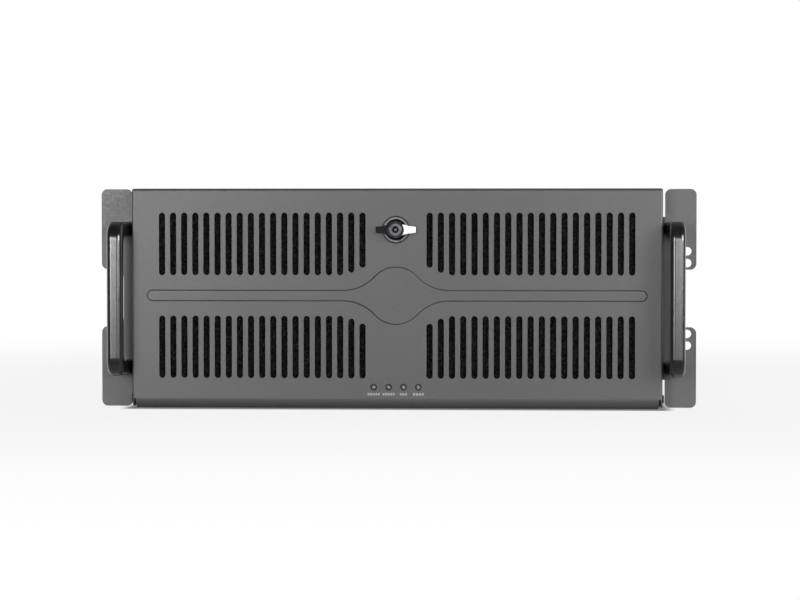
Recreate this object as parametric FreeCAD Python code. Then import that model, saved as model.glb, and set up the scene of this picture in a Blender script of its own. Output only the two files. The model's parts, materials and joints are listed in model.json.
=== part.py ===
import FreeCAD, Part
import math
import os

# 4U rackmount server case, empty. Millimetres; X to the right as seen from the front,
# Y towards the back, Z up. Z = 0 is the underside of the base, X = Y = 0 the middle of
# the plan. The hinged front door faces -Y.

# ---- rack standard ---------------------------------------------------------------------
UNIT = 44.45                    # one rack unit
UNITS = 4
RACK_W = 482.6                  # over the ears
EAR_CLEARANCE = 1.2             # ear is this much shorter than its rack units
RACK_HOLE_INSET = 8.75          # rack hole column in from the ear's edge
RACK_SLOT_OFFSETS = (28.575, 38.1)   # of the slots, above and below the ear's middle
RACK_SLOT_W = 9.6
RACK_SLOT_H = 6.8

# ---- body ------------------------------------------------------------------------------
BODY_CLEARANCE = 0.2            # body is this much shorter than its rack units
BODY_DEPTH = 450.0              # ear face to rear panel face
SHEET = 1.2
BEND = 1.0                      # inside radius of the sheet's bends
TRAY_SETBACK = 2.0              # tray front edge behind the ear face
TRAY_LIP = 12.0                 # inward lips at the top of the tray walls
WALL_VENTS = 10                 # slots in each side wall
WALL_VENT_PITCH = 9.0
WALL_VENT_W = 4.0
WALL_VENT_L = 60.0
WALL_VENT_START = 250.0         # first vent behind the ear face
RAIL_HOLES = (80.0, 130.0, 210.0, 400.0)  # slide rail holes behind the ear face
RAIL_HOLE_R = 2.1
RIVET_R = 1.6
RIVET_HEAD_R = 3.2
RIVET_HEAD_H = 0.8
RIVET_TAIL_R = 2.3
RIVET_TAIL_H = 1.2
RIVET_INSET = 12.0              # end rivets from the base and from the cover's skirt
CAGE_SCREW_R = 1.5
CAGE_SCREW_HEAD_R = 2.7
CAGE_SCREW_TIP = 2.0            # shank past the cage's foot
CAGE_SCREW_SHARES = (0.3, 0.8)  # of the cage's depth

# ---- top cover -------------------------------------------------------------------------
COVER_GAP = 1.0                 # cover skirt outside the tray wall
COVER_SKIRT = 14.0
COVER_FRONT = 1.0               # cover front edge behind the ear face
COVER_REAR_FLANGE = 20.0
COVER_REAR_GAP = 0.3
THUMB_HEAD_R = 6.0
THUMB_HEAD_L = 8.0
THUMB_SHANK_R = 1.5
THUMB_SHANK_L = 8.0
THUMB_HOLE_GAP = 0.1
THUMB_SPAN = 340.0              # between the outer thumbscrews
THUMB_KNURLS = 24
KNURL_DEPTH = 0.35

# ---- ears and handles ------------------------------------------------------------------
EAR_T = 2.0
EAR_W = 25.2
EAR_BEND = 2.1                  # inside radius of the ear's bend
EAR_CORNER = 4.8
EAR_RELIEF = 22.5               # ear plate past its bend, above and below
EAR_FLANGE_L = 46.0
EAR_NOTCH_H = 46.4
EAR_NOTCH_DEPTH = 17.9
EAR_NOTCH_R_IN = 7.0
EAR_NOTCH_R_OUT = 5.0
EAR_SCREW_R = 2.0
EAR_SCREW_HEAD_R = 3.6
EAR_SCREW_HEAD_H = 1.8
EAR_SCREW_MARGIN = 17.8         # end screws from the flange's ends
EAR_SCREW_INSET = 14.0          # screw row ahead of the flange's rear edge
HANDLE_REACH = 45.0
HANDLE_W = 12.2
HANDLE_FLARE = 3.2              # arms widen this much inwards at the ear
HANDLE_H = 124.0
HANDLE_GRIP = 15.0              # depth of the grip bar
HANDLE_ARM = 12.0
HANDLE_BEND = 15.0
HANDLE_BEND_IN = 6.0
HANDLE_EDGE = 4.0
HANDLE_INSET = 17.0             # handle's middle in from the ear's edge
HANDLE_SCREW_R = 2.0
HANDLE_SCREW_HEAD_R = 4.0
HANDLE_SCREW_HEAD_H = 2.4
HANDLE_SCREW_BITE = 10.0
SCREW_GAP = 0.2                 # clearance holes of every fixed screw

# ---- door ------------------------------------------------------------------------------
DOOR_OVER = 1.5                 # door past each side wall
DOOR_TOP_GAP = 0.3              # door's top below the cover's
DOOR_LIFT = 0.3                 # door bottom above the base underside
DOOR_REACH = 20.0               # door face in front of the ear face
DOOR_BACK_GAP = 0.5             # door edges in front of the ear face
DOOR_ROLL = 8.0                 # outside radius of the rolled bottom edge
DOOR_TOP_R = 2.2
DOOR_SIDE_R = 1.6
DOOR_BOTTOM_FLANGE = 8.0        # flat past the roll, ending behind the hinge axis
HINGE_SIDE_GAP = 0.3            # hinge tab to roll, and to door flange
HINGE_TAB_R = 6.0
HINGE_PIN_R = 2.0
HINGE_FIT = 0.05
HINGE_HEAD_R = 3.2
HINGE_HEAD_L = 1.0
HINGE_TAIL = 0.8

PATTERN_RISE = 2.5              # middle of the slot fields above the door's middle
SLOT_SIDE_MARGIN = 24.5         # outermost slot's middle from the door's edge
SLOT_TOP_MARGIN = 19.3          # slot ends below the door's top
SLOT_MIDDLE_GAP = 16.3          # slot ends from the pattern's middle
SLOT_PITCH = 9.0
SLOT_FIRST_X = 27.0
SLOT_W = 5.0
SLOT_TRIMS = (6.2, 2.2)         # innermost slots are shorter beside the swell
BAND_HALF_H = 4.7
BAND_MARGIN = 12.1              # band's ends from the door's edges
SWELL_R = 23.5
SWELL_BLEND_R = 34.0
EMBOSS_H = 1.2
EMBOSS_SLOPE = 1.0              # run of the emboss's sloping wall
EMBOSS_BACK_INSET = 0.5         # of the hollow behind it

LEDS = 4
LED_PITCH = 12.0
LED_ROW_X = 0.0                 # the row's middle
LED_Z = 17.4                    # above the door's bottom
LED_HOLE_R = 2.8
LED_BEZEL_WALL = 1.2
LED_BEZEL_FLANGE = 1.0
LED_BEZEL_L = 6.0
PIPE_RECESS = 0.4
PIPE_COLLAR = 0.8
PIPE_L = 17.6

# ---- dust filters ----------------------------------------------------------------------
FOAM_T = 6.0
FOAM_MARGIN = 2.6               # foam past the slot field
FILTER_T = 1.0
FILTER_RIM = 7.0
FILTER_BAR = 3.0
FILTER_BARS = 3                 # upright bars in each frame
TAB_W = 10.0
TAB_L = 9.0
STUD_R = 1.5
STUD_L = 10.0
STUD_GAP = 0.2
STUD_NUT_AF = 5.5
STUD_NUT_H = 2.4
TAB_SWELL_GAP = 6.5             # upper inner tab above the swell
TAB_END_GAP = 16.0              # tabs' middles from the foam's ends

# ---- lock ------------------------------------------------------------------------------
LOCK_DROP = 33.0                # lock axis below the door's top
LOCK_RING_R = 11.0
LOCK_RING_IN_R = 8.6
LOCK_RING_H = 1.8
LOCK_RING_STEP = 1.0            # depth of the ring's dished middle
LOCK_BARREL_R = 9.0
LOCK_HOLE_GAP = 0.2
LOCK_BARREL_L = 13.0
LOCK_NUT_AF = 24.0
LOCK_NUT_H = 3.5
LOCK_BORE_R = 6.0
LOCK_FIT = 0.05
LOCK_COLLAR = 1.0               # knob's round shank past the barrel; square beyond
KNOB_R = 7.6
KNOB_FACE_R = 6.6
KNOB_REACH = 10.0               # hub face in front of the door face
KNOB_LIFT = 0.4                 # knob foot in front of the ring's dish
WING_SPAN = 32.2
WING_TIP_H = 4.8
WING_ROOT_H = 8.4
WING_TIP_Y = 3.6                # wing tip's front in front of the door face
WING_T = 2.6
PLUG_R = 4.9
PLUG_FIT = 0.03
PLUG_L = 12.0
PLUG_PROUD = 0.5
KEY_RING_R = 2.8
KEY_CORE_R = 1.1
KEY_DEPTH = 5.0
CAM_T = 2.0
CAM_W = 11.0
CAM_L = 24.0                    # lock axis to cam tip
CAM_GAP = 0.6                   # cam behind the front panel
CAM_SQUARE = 6.0
CAM_SCREW_HEAD_R = 5.0
CAM_SCREW_HEAD_H = 2.4
CAM_SCREW_R = 1.5
CAM_SCREW_L = 7.0

# ---- front panel, behind the door ------------------------------------------------------
PANEL_SETBACK = 4.0             # its face behind the ear face
PANEL_FLANGE = 13.0
CAM_SLOT_X = (-14.0, 34.0)       # window for the lock's shank and cam
CAM_SLOT_H = 34.0
CAM_SLOT_R = 3.0
BAY_WALL_GAP = 8.5              # 5.25 inch cage to the right wall
BAY_W = 148.6
BAY_H = 42.3
BAYS = 3
BAY_Z = 25.0                    # lower edge of the bays
BAY_EDGE = 0.6                  # bay cover inside the opening, each side
BAY_COVER_T = 4.0
BAY_COVER_GRIP = 9.0
BAY_COVER_LUG = 12.0
FLOPPY_X = -9.0
FLOPPY_W = 102.6
FLOPPY_H = 26.4
FLOPPY_Z = 33.0
CAGE_T = 1.0
CAGE_GAP = 0.3                  # cage front behind the front panel
CAGE_FOOT = 8.0
CAGE_DEPTH = 180.0
CAGE_BOARD_GAP = 12.5           # floppy cage's end to the first standoffs
CAGE_SLOTS = 4
RAIL_W = 5.0
RAIL_T = 1.0

BUTTON_DROP = 32.3              # button row below the lock
POWER_X = -38.0
POWER_R = 6.0
RESET_X = -14.0
RESET_R = 4.0
BUTTON_FIT = 0.3
BUTTON_PROUD = 2.6
BUTTON_TRAVEL = 2.0
BUTTON_RIM = 1.2
BUTTON_RIM_T = 1.2
BUTTON_BACK = 6.0               # button tail behind the panel face
BUTTON_DOME = 0.8
USB_XS = (-38.0, -14.0)
USB_DROP = 24.0                 # sockets below the buttons
USB_W = 13.2
USB_H = 5.8
USB_WALL = 0.4
USB_GAP = 0.3
BOARD_T = 1.6
BOARD_Y = 12.0                  # control board behind the panel face
BOARD_X = (-55.0, 5.0)
BOARD_UNDER = 8.0               # board past the sockets' middle
BOARD_OVER = 12.0               # board past the buttons' middle
BOARD_POST_INSET = 4.0
SWITCH_SIZE = 6.0
SWITCH_GAP = 0.4                # pressed button to its switch
LED_R = 1.5
LED_TIP = 1.6                   # LED dome in front of the panel face
LED_GAP = 0.2
LED_BOARD_Y = 7.0
LED_BOARD_W = 62.0
LED_BOARD_H = 12.0
LED_POST_X = 27.0               # either side of the LED row's middle
POST_R = 2.5

# ---- fans ------------------------------------------------------------------------------
FAN_T = 25.0
FAN_WALL = 2.5
FAN_CORNER = 5.0
FAN_FLANGE = 3.5
FAN_STRUT = 5.0
FAN_STRUTS = 4
FAN_BASE_T = 3.0
FAN_TIP_GAP = 1.2
FAN_SHAFT_R = 2.0
FAN_FIT = 0.05
FAN_BOSS_R = 4.0
FAN_BOSS_L = 12.0
FAN_CUP_WALL = 1.6
FAN_CUP_GAP = 1.0
FAN_BLADES = 7
FAN_BLADE_T = 1.4
FAN_BLADE_ROOT_DEG = 45.0
FAN_BLADE_TIP_DEG = 62.0
FRONT_FAN_SIZE = (120.0, 52.5, 19.0)      # across, screw offset, hub radius
FRONT_FAN_WALL_GAP = 13.8
REAR_FAN_SIZE = (80.0, 35.75, 15.0)
REAR_FAN_DROP = 70.4            # fan's middle below the tray's top
REAR_FAN_GAP = 2.0              # between the rear fans
GRILLE_RING_W = 6.0
GRILLE_RIB_W = 2.6
GRILLE_SPOKE_W = 4.0
FAN_SCREW_R = 2.0
FAN_SCREW_HEAD_R = 3.6
FAN_SCREW_HEAD_H = 1.6
FAN_SCREW_L = 10.0

# ---- rear panel ------------------------------------------------------------------------
REAR_FLANGE = 12.0
CARD_SLOTS = 7
CARD_PITCH = 20.32
CARD_WALL_GAP = 20.8            # first slot's middle from the left wall
CARD_W = 14.6
CARD_H = 110.0
CARD_Z = 10.0
CARD_COVER_T = 0.9
CARD_COVER_LIP = 11.4
CARD_COVER_GAP = 0.5            # cover inside its slot, at the sides and below
CARD_COVER_BEND = 0.6
CARD_SHELF_DROP = 2.5           # screw shelf's top below the slot's top
CARD_SHELF = 13.0
CARD_SCREW_R = 1.5
CARD_SCREW_HEAD_R = 3.4
CARD_SCREW_HEAD_H = 2.0
CARD_SCREW_L = 6.0
IO_CARD_GAP = 19.08             # connector opening from the last slot's middle
IO_W = 158.75
IO_H = 44.45
IO_Z = 6.5
PSU_WALL_GAP = 6.8
PSU_W = 86.0
PSU_H = 150.0
PSU_Z = 9.0
PSU_RIM = 5.0
PSU_SCREW_R = 1.9
PSU_SCREWS = ((16.0, 6.0), (80.0, 6.0), (6.0, 144.0), (80.0, 144.0))

# ---- inside ----------------------------------------------------------------------------
BAR_Y = 232.0                   # brace bar behind the ear face
BAR_W = 26.0
BAR_H = 12.0
BAR_DROP = 14.4                 # bar's top below the tray's top
BAR_FOOT = 16.0
BAR_SCREW_R = 1.5
BAR_SCREW_HEAD_R = 3.0
BAR_SCREW_HEAD_H = 1.8
BOARD_HOLES_X = (8.8, 133.8, 252.8)       # motherboard screws from the left wall
BOARD_HOLES_Y = (16.5, 173.0, 292.0)      # and from the rear face
STANDOFF_AF = 5.0
STANDOFF_H = 6.35
STANDOFF_STUD_R = 1.5

TINY = 0.01

# ---- derived places --------------------------------------------------------------------
BODY_W = RACK_W - 2 * (EAR_W + EAR_T + EAR_BEND)
BODY_H = UNIT * UNITS - BODY_CLEARANCE
DOOR_W = BODY_W + 2 * DOOR_OVER
DOOR_H = BODY_H - DOOR_LIFT - DOOR_TOP_GAP
REAR_REACH = BODY_DEPTH + COVER_REAR_GAP + SHEET + THUMB_HEAD_L
Y_EAR = (HANDLE_REACH - REAR_REACH) / 2
Y_REAR = Y_EAR + BODY_DEPTH
Y_TRAY = Y_EAR + TRAY_SETBACK
Y_PANEL = Y_EAR + PANEL_SETBACK
Y_DOOR = Y_EAR - DOOR_REACH
Y_DOOR_IN = Y_DOOR + SHEET
Y_DOOR_BACK = Y_EAR - DOOR_BACK_GAP
HALF_W = BODY_W / 2
INNER_W = HALF_W - SHEET
TRAY_TOP = BODY_H - SHEET
HALF_DOOR = DOOR_W / 2
DOOR_TOP = DOOR_LIFT + DOOR_H
HINGE_Y = Y_DOOR + DOOR_ROLL
HINGE_Z = DOOR_LIFT + DOOR_ROLL
ROLL_HALF_W = INNER_W - HINGE_SIDE_GAP
EAR_H = UNIT * UNITS - EAR_CLEARANCE
EAR_MID = BODY_H / 2
EAR_FLANGE_H = EAR_H - 2 * EAR_RELIEF
RACK_HOLE_SPAN = RACK_W - 2 * RACK_HOLE_INSET
HANDLE_X = RACK_W / 2 - HANDLE_INSET
PATTERN_MID = DOOR_LIFT + DOOR_H / 2 + PATTERN_RISE
SLOT_L = DOOR_TOP - SLOT_TOP_MARGIN - PATTERN_MID - SLOT_MIDDLE_GAP
SLOT_ROW_Z = SLOT_MIDDLE_GAP + SLOT_L / 2
SLOTS = int((HALF_DOOR - SLOT_SIDE_MARGIN - SLOT_FIRST_X) / SLOT_PITCH + TINY) + 1
BAND_HALF_L = HALF_DOOR - BAND_MARGIN
LOCK_AXIS_Z = DOOR_TOP - LOCK_DROP
BUTTON_Z = LOCK_AXIS_Z - BUTTON_DROP
USB_Z = BUTTON_Z - USB_DROP
BOARD_ZS = (USB_Z - BOARD_UNDER, BUTTON_Z + BOARD_OVER)
BAY_X = INNER_W - BAY_WALL_GAP - CAGE_T - BAY_W / 2
FLOPPY_CAGE_DEPTH = BODY_DEPTH - BOARD_HOLES_Y[-1] - PANEL_SETBACK - SHEET - CAGE_GAP - CAGE_BOARD_GAP
BAR_Z = TRAY_TOP - BAR_DROP - BAR_H
CARD_X = CARD_WALL_GAP - INNER_W
IO_X = CARD_X + (CARD_SLOTS - 1) * CARD_PITCH + IO_CARD_GAP
PSU_X = INNER_W - PSU_WALL_GAP - PSU_W
LED_ROW_Z = DOOR_LIFT + LED_Z
LED_XS = [LED_ROW_X + (i - (LEDS - 1) / 2) * LED_PITCH for i in range(LEDS)]
FIELD_IN = SLOT_FIRST_X - SLOT_W / 2 - FOAM_MARGIN
FIELD_OUT = SLOT_FIRST_X + (SLOTS - 1) * SLOT_PITCH + SLOT_W / 2 + FOAM_MARGIN
FIELD_HALF_H = SLOT_ROW_Z + SLOT_L / 2 + FOAM_MARGIN
TAB_Z_INNER = (TAB_END_GAP - FIELD_HALF_H, SWELL_R + TAB_SWELL_GAP)
TAB_Z_OUTER = (TAB_END_GAP - FIELD_HALF_H, FIELD_HALF_H - TAB_END_GAP)
CAGE_Y = Y_PANEL + SHEET + CAGE_GAP
CAM_Y = Y_PANEL + SHEET + CAM_GAP

nodes = {}


# ---- drawing helpers -------------------------------------------------------------------
def vec(x, y, z):
    return FreeCAD.Vector(x, y, z)


def box(x0, x1, y0, y1, z0, z1):
    return Part.makeBox(x1 - x0, y1 - y0, z1 - z0, vec(x0, y0, z0))


def rod_y(r, x, z, y0, y1):
    return Part.makeCylinder(r, y1 - y0, vec(x, y0, z), vec(0, 1, 0))


def rod_x(r, y, z, x0, x1):
    return Part.makeCylinder(r, x1 - x0, vec(x0, y, z), vec(1, 0, 0))


def rod_z(r, x, y, z0, z1):
    return Part.makeCylinder(r, z1 - z0, vec(x, y, z0), vec(0, 0, 1))


def turned_y(x, z, profile):
    """Solid of revolution about a Y axis through (x, z); profile is (radius, y) pairs."""
    points = [vec(x + r, y, z) for r, y in profile]
    face = Part.Face(Part.makePolygon(points + points[:1]))
    return face.revolve(vec(x, 0, z), vec(0, 1, 0), 360)


def hexagon_y(across, x, z, y0, y1):
    r = across / math.sqrt(3)
    ring = [vec(x + r * math.cos(a), y0, z + r * math.sin(a))
            for a in [math.radians(60 * i) for i in range(7)]]
    return Part.Face(Part.makePolygon(ring)).extrude(vec(0, y1 - y0, 0))


def place(axis, at, u, v):
    """The point (u, v) of a drawing plane: YZ for axis X, XZ for axis Y, XY for axis Z."""
    return {"X": vec(at, u, v), "Y": vec(u, at, v), "Z": vec(u, v, at)}[axis]


def rounded_face(corners, axis, at):
    """Face of a polygon whose corners are (u, v, radius)."""
    count = len(corners)
    ins, mids, outs = [], [], []
    for i, (u, v, r) in enumerate(corners):
        pu, pv = corners[i - 1][:2]
        nu, nv = corners[(i + 1) % count][:2]
        a = (pu - u, pv - v)
        b = (nu - u, nv - v)
        la, lb = math.hypot(*a), math.hypot(*b)
        a = (a[0] / la, a[1] / la)
        b = (b[0] / lb, b[1] / lb)
        half = math.acos(max(-1.0, min(1.0, a[0] * b[0] + a[1] * b[1]))) / 2
        run = r / math.tan(half) if r else 0.0
        ins.append((u + a[0] * run, v + a[1] * run))
        outs.append((u + b[0] * run, v + b[1] * run))
        m = (a[0] + b[0], a[1] + b[1])
        lm = math.hypot(*m) or 1.0
        reach = r / math.sin(half) - r if r else 0.0
        mids.append((u + m[0] / lm * reach, v + m[1] / lm * reach))
    edges = []
    for i in range(count):
        if corners[i][2]:
            arc = Part.Arc(place(axis, at, *ins[i]), place(axis, at, *mids[i]), place(axis, at, *outs[i]))
            edges.append(arc.toShape())
        start, end = place(axis, at, *outs[i]), place(axis, at, *ins[(i + 1) % count])
        if start.distanceToPoint(end) > TINY:
            edges.append(Part.LineSegment(start, end).toShape())
    return Part.Face(Part.Wire(edges))


def rounded_prism(corners, axis, start, length):
    step = {"X": vec(length, 0, 0), "Y": vec(0, length, 0), "Z": vec(0, 0, length)}[axis]
    return rounded_face(corners, axis, start).extrude(step)


def rectangle(u0, u1, v0, v1, r):
    return [(u0, v0, r), (u1, v0, r), (u1, v1, r), (u0, v1, r)]


def folded(path, axis, start, length, thick=SHEET, bend=BEND):
    """Sheet bent along a path of its outer face; the metal lies to the path's left."""
    count = len(path)
    normals = []
    for (u0, v0), (u1, v1) in zip(path, path[1:]):
        run = math.hypot(u1 - u0, v1 - v0)
        normals.append((-(v1 - v0) / run, (u1 - u0) / run))
    outer, inner = [], []
    for i, (u, v) in enumerate(path):
        if i == 0 or i == count - 1:
            n = normals[0] if i == 0 else normals[-1]
            outer.append((u, v, 0.0))
            inner.append((u + n[0] * thick, v + n[1] * thick, 0.0))
            continue
        n0, n1 = normals[i - 1], normals[i]
        dot = n0[0] * n1[0] + n0[1] * n1[1]
        reach = thick / (1 + dot)
        turn = n0[0] * n1[1] - n0[1] * n1[0]
        outer.append((u, v, bend + thick if turn > 0 else bend))
        inner.append((u + (n0[0] + n1[0]) * reach, v + (n0[1] + n1[1]) * reach,
                      bend if turn > 0 else bend + thick))
    return rounded_prism(outer + inner[::-1], axis, start, length)


def slot_y(x, z, w, h, y0, y1):
    """Round-ended opening through Y, w wide and h high."""
    r = min(w, h) / 2
    return rounded_prism(rectangle(x - w / 2, x + w / 2, z - h / 2, z + h / 2, r - TINY), "Y", y0, y1 - y0)


def slot_x(y, z, w, h, x0, x1):
    r = min(w, h) / 2
    return rounded_prism(rectangle(y - w / 2, y + w / 2, z - h / 2, z + h / 2, r - TINY), "X", x0, x1 - x0)


def fused(shapes):
    shapes = list(shapes)
    if len(shapes) == 1:
        return shapes[0]
    return shapes[0].multiFuse(shapes[1:]).removeSplitter()


def cut(shape, tools):
    tools = list(tools)
    return shape.cut(Part.makeCompound(tools)) if tools else shape


def mirrored(shape):
    return shape.mirror(vec(0, 0, 0), vec(1, 0, 0))


def group(shapes):
    return Part.makeCompound(list(shapes))


def pan_screw(head_r, head_h, shank_r, shank_l, place_at, direction):
    """Screw whose head sits on place_at and whose shank runs along direction."""
    head = Part.makeCylinder(head_r, head_h, vec(0, 0, -head_h))
    head = head.makeChamfer(head_h / 3, [head.Edges[2]])
    screw = head.fuse(Part.makeCylinder(shank_r, shank_l))
    recess = Part.makeBox(head_r, head_h / 3, head_h, vec(-head_r / 2, -head_h / 6, -1.5 * head_h))
    cross = recess.fuse(recess.rotated(vec(0, 0, 0), vec(0, 0, 1), 90))
    screw = screw.cut(cross)
    turn = FreeCAD.Rotation(vec(0, 0, 1), direction)
    return screw.transformed(FreeCAD.Placement(place_at, turn).toMatrix())


# ---- base tray: floor, walls and lips folded from one sheet ----------------------------
def standoff_places():
    return [(x - INNER_W, Y_REAR - y) for x in BOARD_HOLES_X for y in BOARD_HOLES_Y]


def hinge_tab(side):
    inner, outer = sorted((side * INNER_W, side * HALF_W))
    disc = rod_x(HINGE_TAB_R, HINGE_Y, HINGE_Z, inner, outer)
    arm = box(inner, outer, HINGE_Y, Y_TRAY + SHEET, HINGE_Z - HINGE_TAB_R, HINGE_Z + HINGE_TAB_R)
    return disc.fuse(arm).cut(rod_x(HINGE_PIN_R, HINGE_Y, HINGE_Z, inner - 1, outer + 1))


def ear_screw_places():
    y = Y_EAR + EAR_FLANGE_L - EAR_SCREW_INSET
    reach = EAR_FLANGE_H / 2 - EAR_SCREW_MARGIN
    return [(side, y, EAR_MID + z) for side in (-1, 1) for z in (-reach, 0.0, reach)]


def bar_screw_places():
    return [(side, Y_EAR + BAR_Y, BAR_Z - BAR_FOOT / 2) for side in (-1, 1)]


def make_base_tray():
    path = [(TRAY_LIP - HALF_W, TRAY_TOP), (-HALF_W, TRAY_TOP), (-HALF_W, 0),
            (HALF_W, 0), (HALF_W, TRAY_TOP), (HALF_W - TRAY_LIP, TRAY_TOP)]
    tray = folded(path, "Y", Y_TRAY, Y_REAR - Y_TRAY)
    tray = fused([tray, hinge_tab(-1), hinge_tab(1)])
    holes = [rod_z(STANDOFF_STUD_R, x, y, -1, SHEET + 1) for x, y in standoff_places()]
    for i in range(WALL_VENTS):
        y = Y_EAR + WALL_VENT_START + i * WALL_VENT_PITCH
        for side in (-1, 1):
            inner, outer = sorted((side * (INNER_W - 1), side * (HALF_W + 1)))
            holes.append(slot_x(y, EAR_MID, WALL_VENT_W, WALL_VENT_L, inner, outer))
    for side in (-1, 1):
        inner, outer = sorted((side * (INNER_W - 1), side * (HALF_W + 1)))
        holes += [rod_x(RAIL_HOLE_R, Y_EAR + y, EAR_MID, inner, outer) for y in RAIL_HOLES]
    for side, y, z in ear_screw_places():
        inner, outer = sorted((side * (INNER_W - 1), side * (HALF_W + 1)))
        holes.append(rod_x(EAR_SCREW_R, y, z, inner, outer))
    holes += rivet_shanks() + [make_cage_screw(x, y) for x, y in cage_screw_places()]
    for side, y, z in bar_screw_places():
        inner, outer = sorted((side * (INNER_W - 1), side * (HALF_W + 1)))
        holes.append(rod_x(BAR_SCREW_R + SCREW_GAP, y, z, inner, outer))
    nodes["base_tray"] = cut(tray, holes)
    nodes["board_standoffs"] = group(make_standoff(x, y) for x, y in standoff_places())


def make_standoff(x, y):
    r = STANDOFF_AF / math.sqrt(3)
    ring = [vec(x + r * math.cos(a), y + r * math.sin(a), SHEET)
            for a in [math.radians(60 * i) for i in range(7)]]
    post = Part.Face(Part.makePolygon(ring)).extrude(vec(0, 0, STANDOFF_H))
    post = post.fuse(rod_z(STANDOFF_STUD_R, x, y, 0, SHEET))
    top = SHEET + STANDOFF_H
    return post.cut(rod_z(STANDOFF_STUD_R, x, y, top / 2, top + 1))


# ---- rivets through walls and panel flanges, screws through floor and cage feet --------
def rivet_places():
    top = BODY_H - COVER_SKIRT - RIVET_INSET
    front = [(Y_PANEL + PANEL_FLANGE / 2, RIVET_INSET)]
    rear = [(Y_REAR - REAR_FLANGE / 2, z) for z in (RIVET_INSET, (RIVET_INSET + top) / 2, top)]
    return [(side, y, z) for side in (-1, 1) for y, z in front + rear]


def rivet_shanks():
    shanks = []
    for side, y, z in rivet_places():
        x0, x1 = sorted((side * (INNER_W - SHEET), side * HALF_W))
        shanks.append(rod_x(RIVET_R, y, z, x0, x1))
    return shanks


def make_rivets():
    rivets = []
    for (side, y, z), shank in zip(rivet_places(), rivet_shanks()):
        out = vec(side, 0, 0)
        head = Part.makeCylinder(RIVET_HEAD_R, RIVET_HEAD_H, vec(side * HALF_W, y, z), out)
        rim = [e for e in head.Edges if abs(abs(e.CenterOfMass.x) - HALF_W - RIVET_HEAD_H) < TINY]
        head = head.makeFillet(RIVET_HEAD_H * 0.7, rim)
        head = head.cut(Part.makeCylinder(RIVET_R / 2, SHEET, vec(side * HALF_W, y, z), out))
        inside = side * (INNER_W - SHEET)
        tail = Part.makeCylinder(RIVET_TAIL_R, RIVET_TAIL_H, vec(inside, y, z), vec(-side, 0, 0))
        rivets.append(fused([head, shank, tail]))
    nodes["panel_rivets"] = group(rivets)


def cage_screw_places():
    places = []
    for x, inner_w, depth in ((BAY_X, BAY_W, CAGE_DEPTH), (FLOPPY_X, FLOPPY_W, FLOPPY_CAGE_DEPTH)):
        reach = inner_w / 2 + CAGE_T - CAGE_FOOT / 2
        places += [(x + s * reach, CAGE_Y + depth * share) for s in (-1, 1) for share in CAGE_SCREW_SHARES]
    return places


def make_cage_screw(x, y):
    """Countersunk screw flush with the underside of the floor."""
    head = Part.makeCone(CAGE_SCREW_HEAD_R, CAGE_SCREW_R, SHEET, vec(x, y, 0), vec(0, 0, 1))
    return head.fuse(rod_z(CAGE_SCREW_R, x, y, SHEET, SHEET + CAGE_T + CAGE_SCREW_TIP))


def make_cage_screws():
    drive = box(-SHEET / 4, SHEET / 4, -CAGE_SCREW_R, CAGE_SCREW_R, -1, SHEET / 2)
    cross = drive.fuse(drive.rotated(vec(0, 0, 0), vec(0, 0, 1), 90))
    nodes["cage_screws"] = group(make_cage_screw(x, y).cut(cross.translated(vec(x, y, 0)))
                                 for x, y in cage_screw_places())


# ---- top cover: roof, skirts and rear flange; thumbscrews ------------------------------
def thumb_places():
    z = BODY_H - COVER_REAR_FLANGE / 2
    return [(x, z) for x in (-THUMB_SPAN / 2, THUMB_SPAN / 2)]


def make_thumbscrew(x, z):
    y0 = Y_REAR + COVER_REAR_GAP + SHEET
    head = rod_y(THUMB_HEAD_R, x, z, y0, y0 + THUMB_HEAD_L)
    grooves = []
    for i in range(THUMB_KNURLS):
        a = 2 * math.pi * i / THUMB_KNURLS
        gx, gz = x + THUMB_HEAD_R * math.cos(a), z + THUMB_HEAD_R * math.sin(a)
        grooves.append(box(gx - KNURL_DEPTH, gx + KNURL_DEPTH, y0 + 1, y0 + THUMB_HEAD_L + 1,
                           gz - KNURL_DEPTH, gz + KNURL_DEPTH))
    head = cut(head, grooves)
    slot = box(x - THUMB_HEAD_R, x + THUMB_HEAD_R, y0 + THUMB_HEAD_L - 1, y0 + THUMB_HEAD_L + 1,
               z - SHEET / 2, z + SHEET / 2)
    return head.cut(slot).fuse(rod_y(THUMB_SHANK_R, x, z, y0 - THUMB_SHANK_L, y0))


def make_cover():
    skirt_w = HALF_W + COVER_GAP + SHEET
    y0 = Y_EAR + COVER_FRONT
    y1 = Y_REAR + COVER_REAR_GAP + SHEET
    skirt_z = BODY_H - COVER_SKIRT
    sides = [(skirt_w, skirt_z), (skirt_w, BODY_H), (-skirt_w, BODY_H), (-skirt_w, skirt_z)]
    roof = folded(sides, "Y", y0, Y_REAR - y0)
    flange_w = HALF_W - BEND
    back = [(y1, BODY_H - COVER_REAR_FLANGE), (y1, BODY_H), (Y_REAR - COVER_SKIRT, BODY_H)]
    flange = folded(back, "X", -flange_w, 2 * flange_w, SHEET, COVER_REAR_GAP)
    cover = fused([roof, flange])
    holes = [rod_y(THUMB_SHANK_R, x, z, Y_REAR, y1 + 1) for x, z in thumb_places()]
    nodes["top_cover"] = cut(cover, holes)
    nodes["cover_thumbscrews"] = group(make_thumbscrew(x, z) for x, z in thumb_places())


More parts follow.
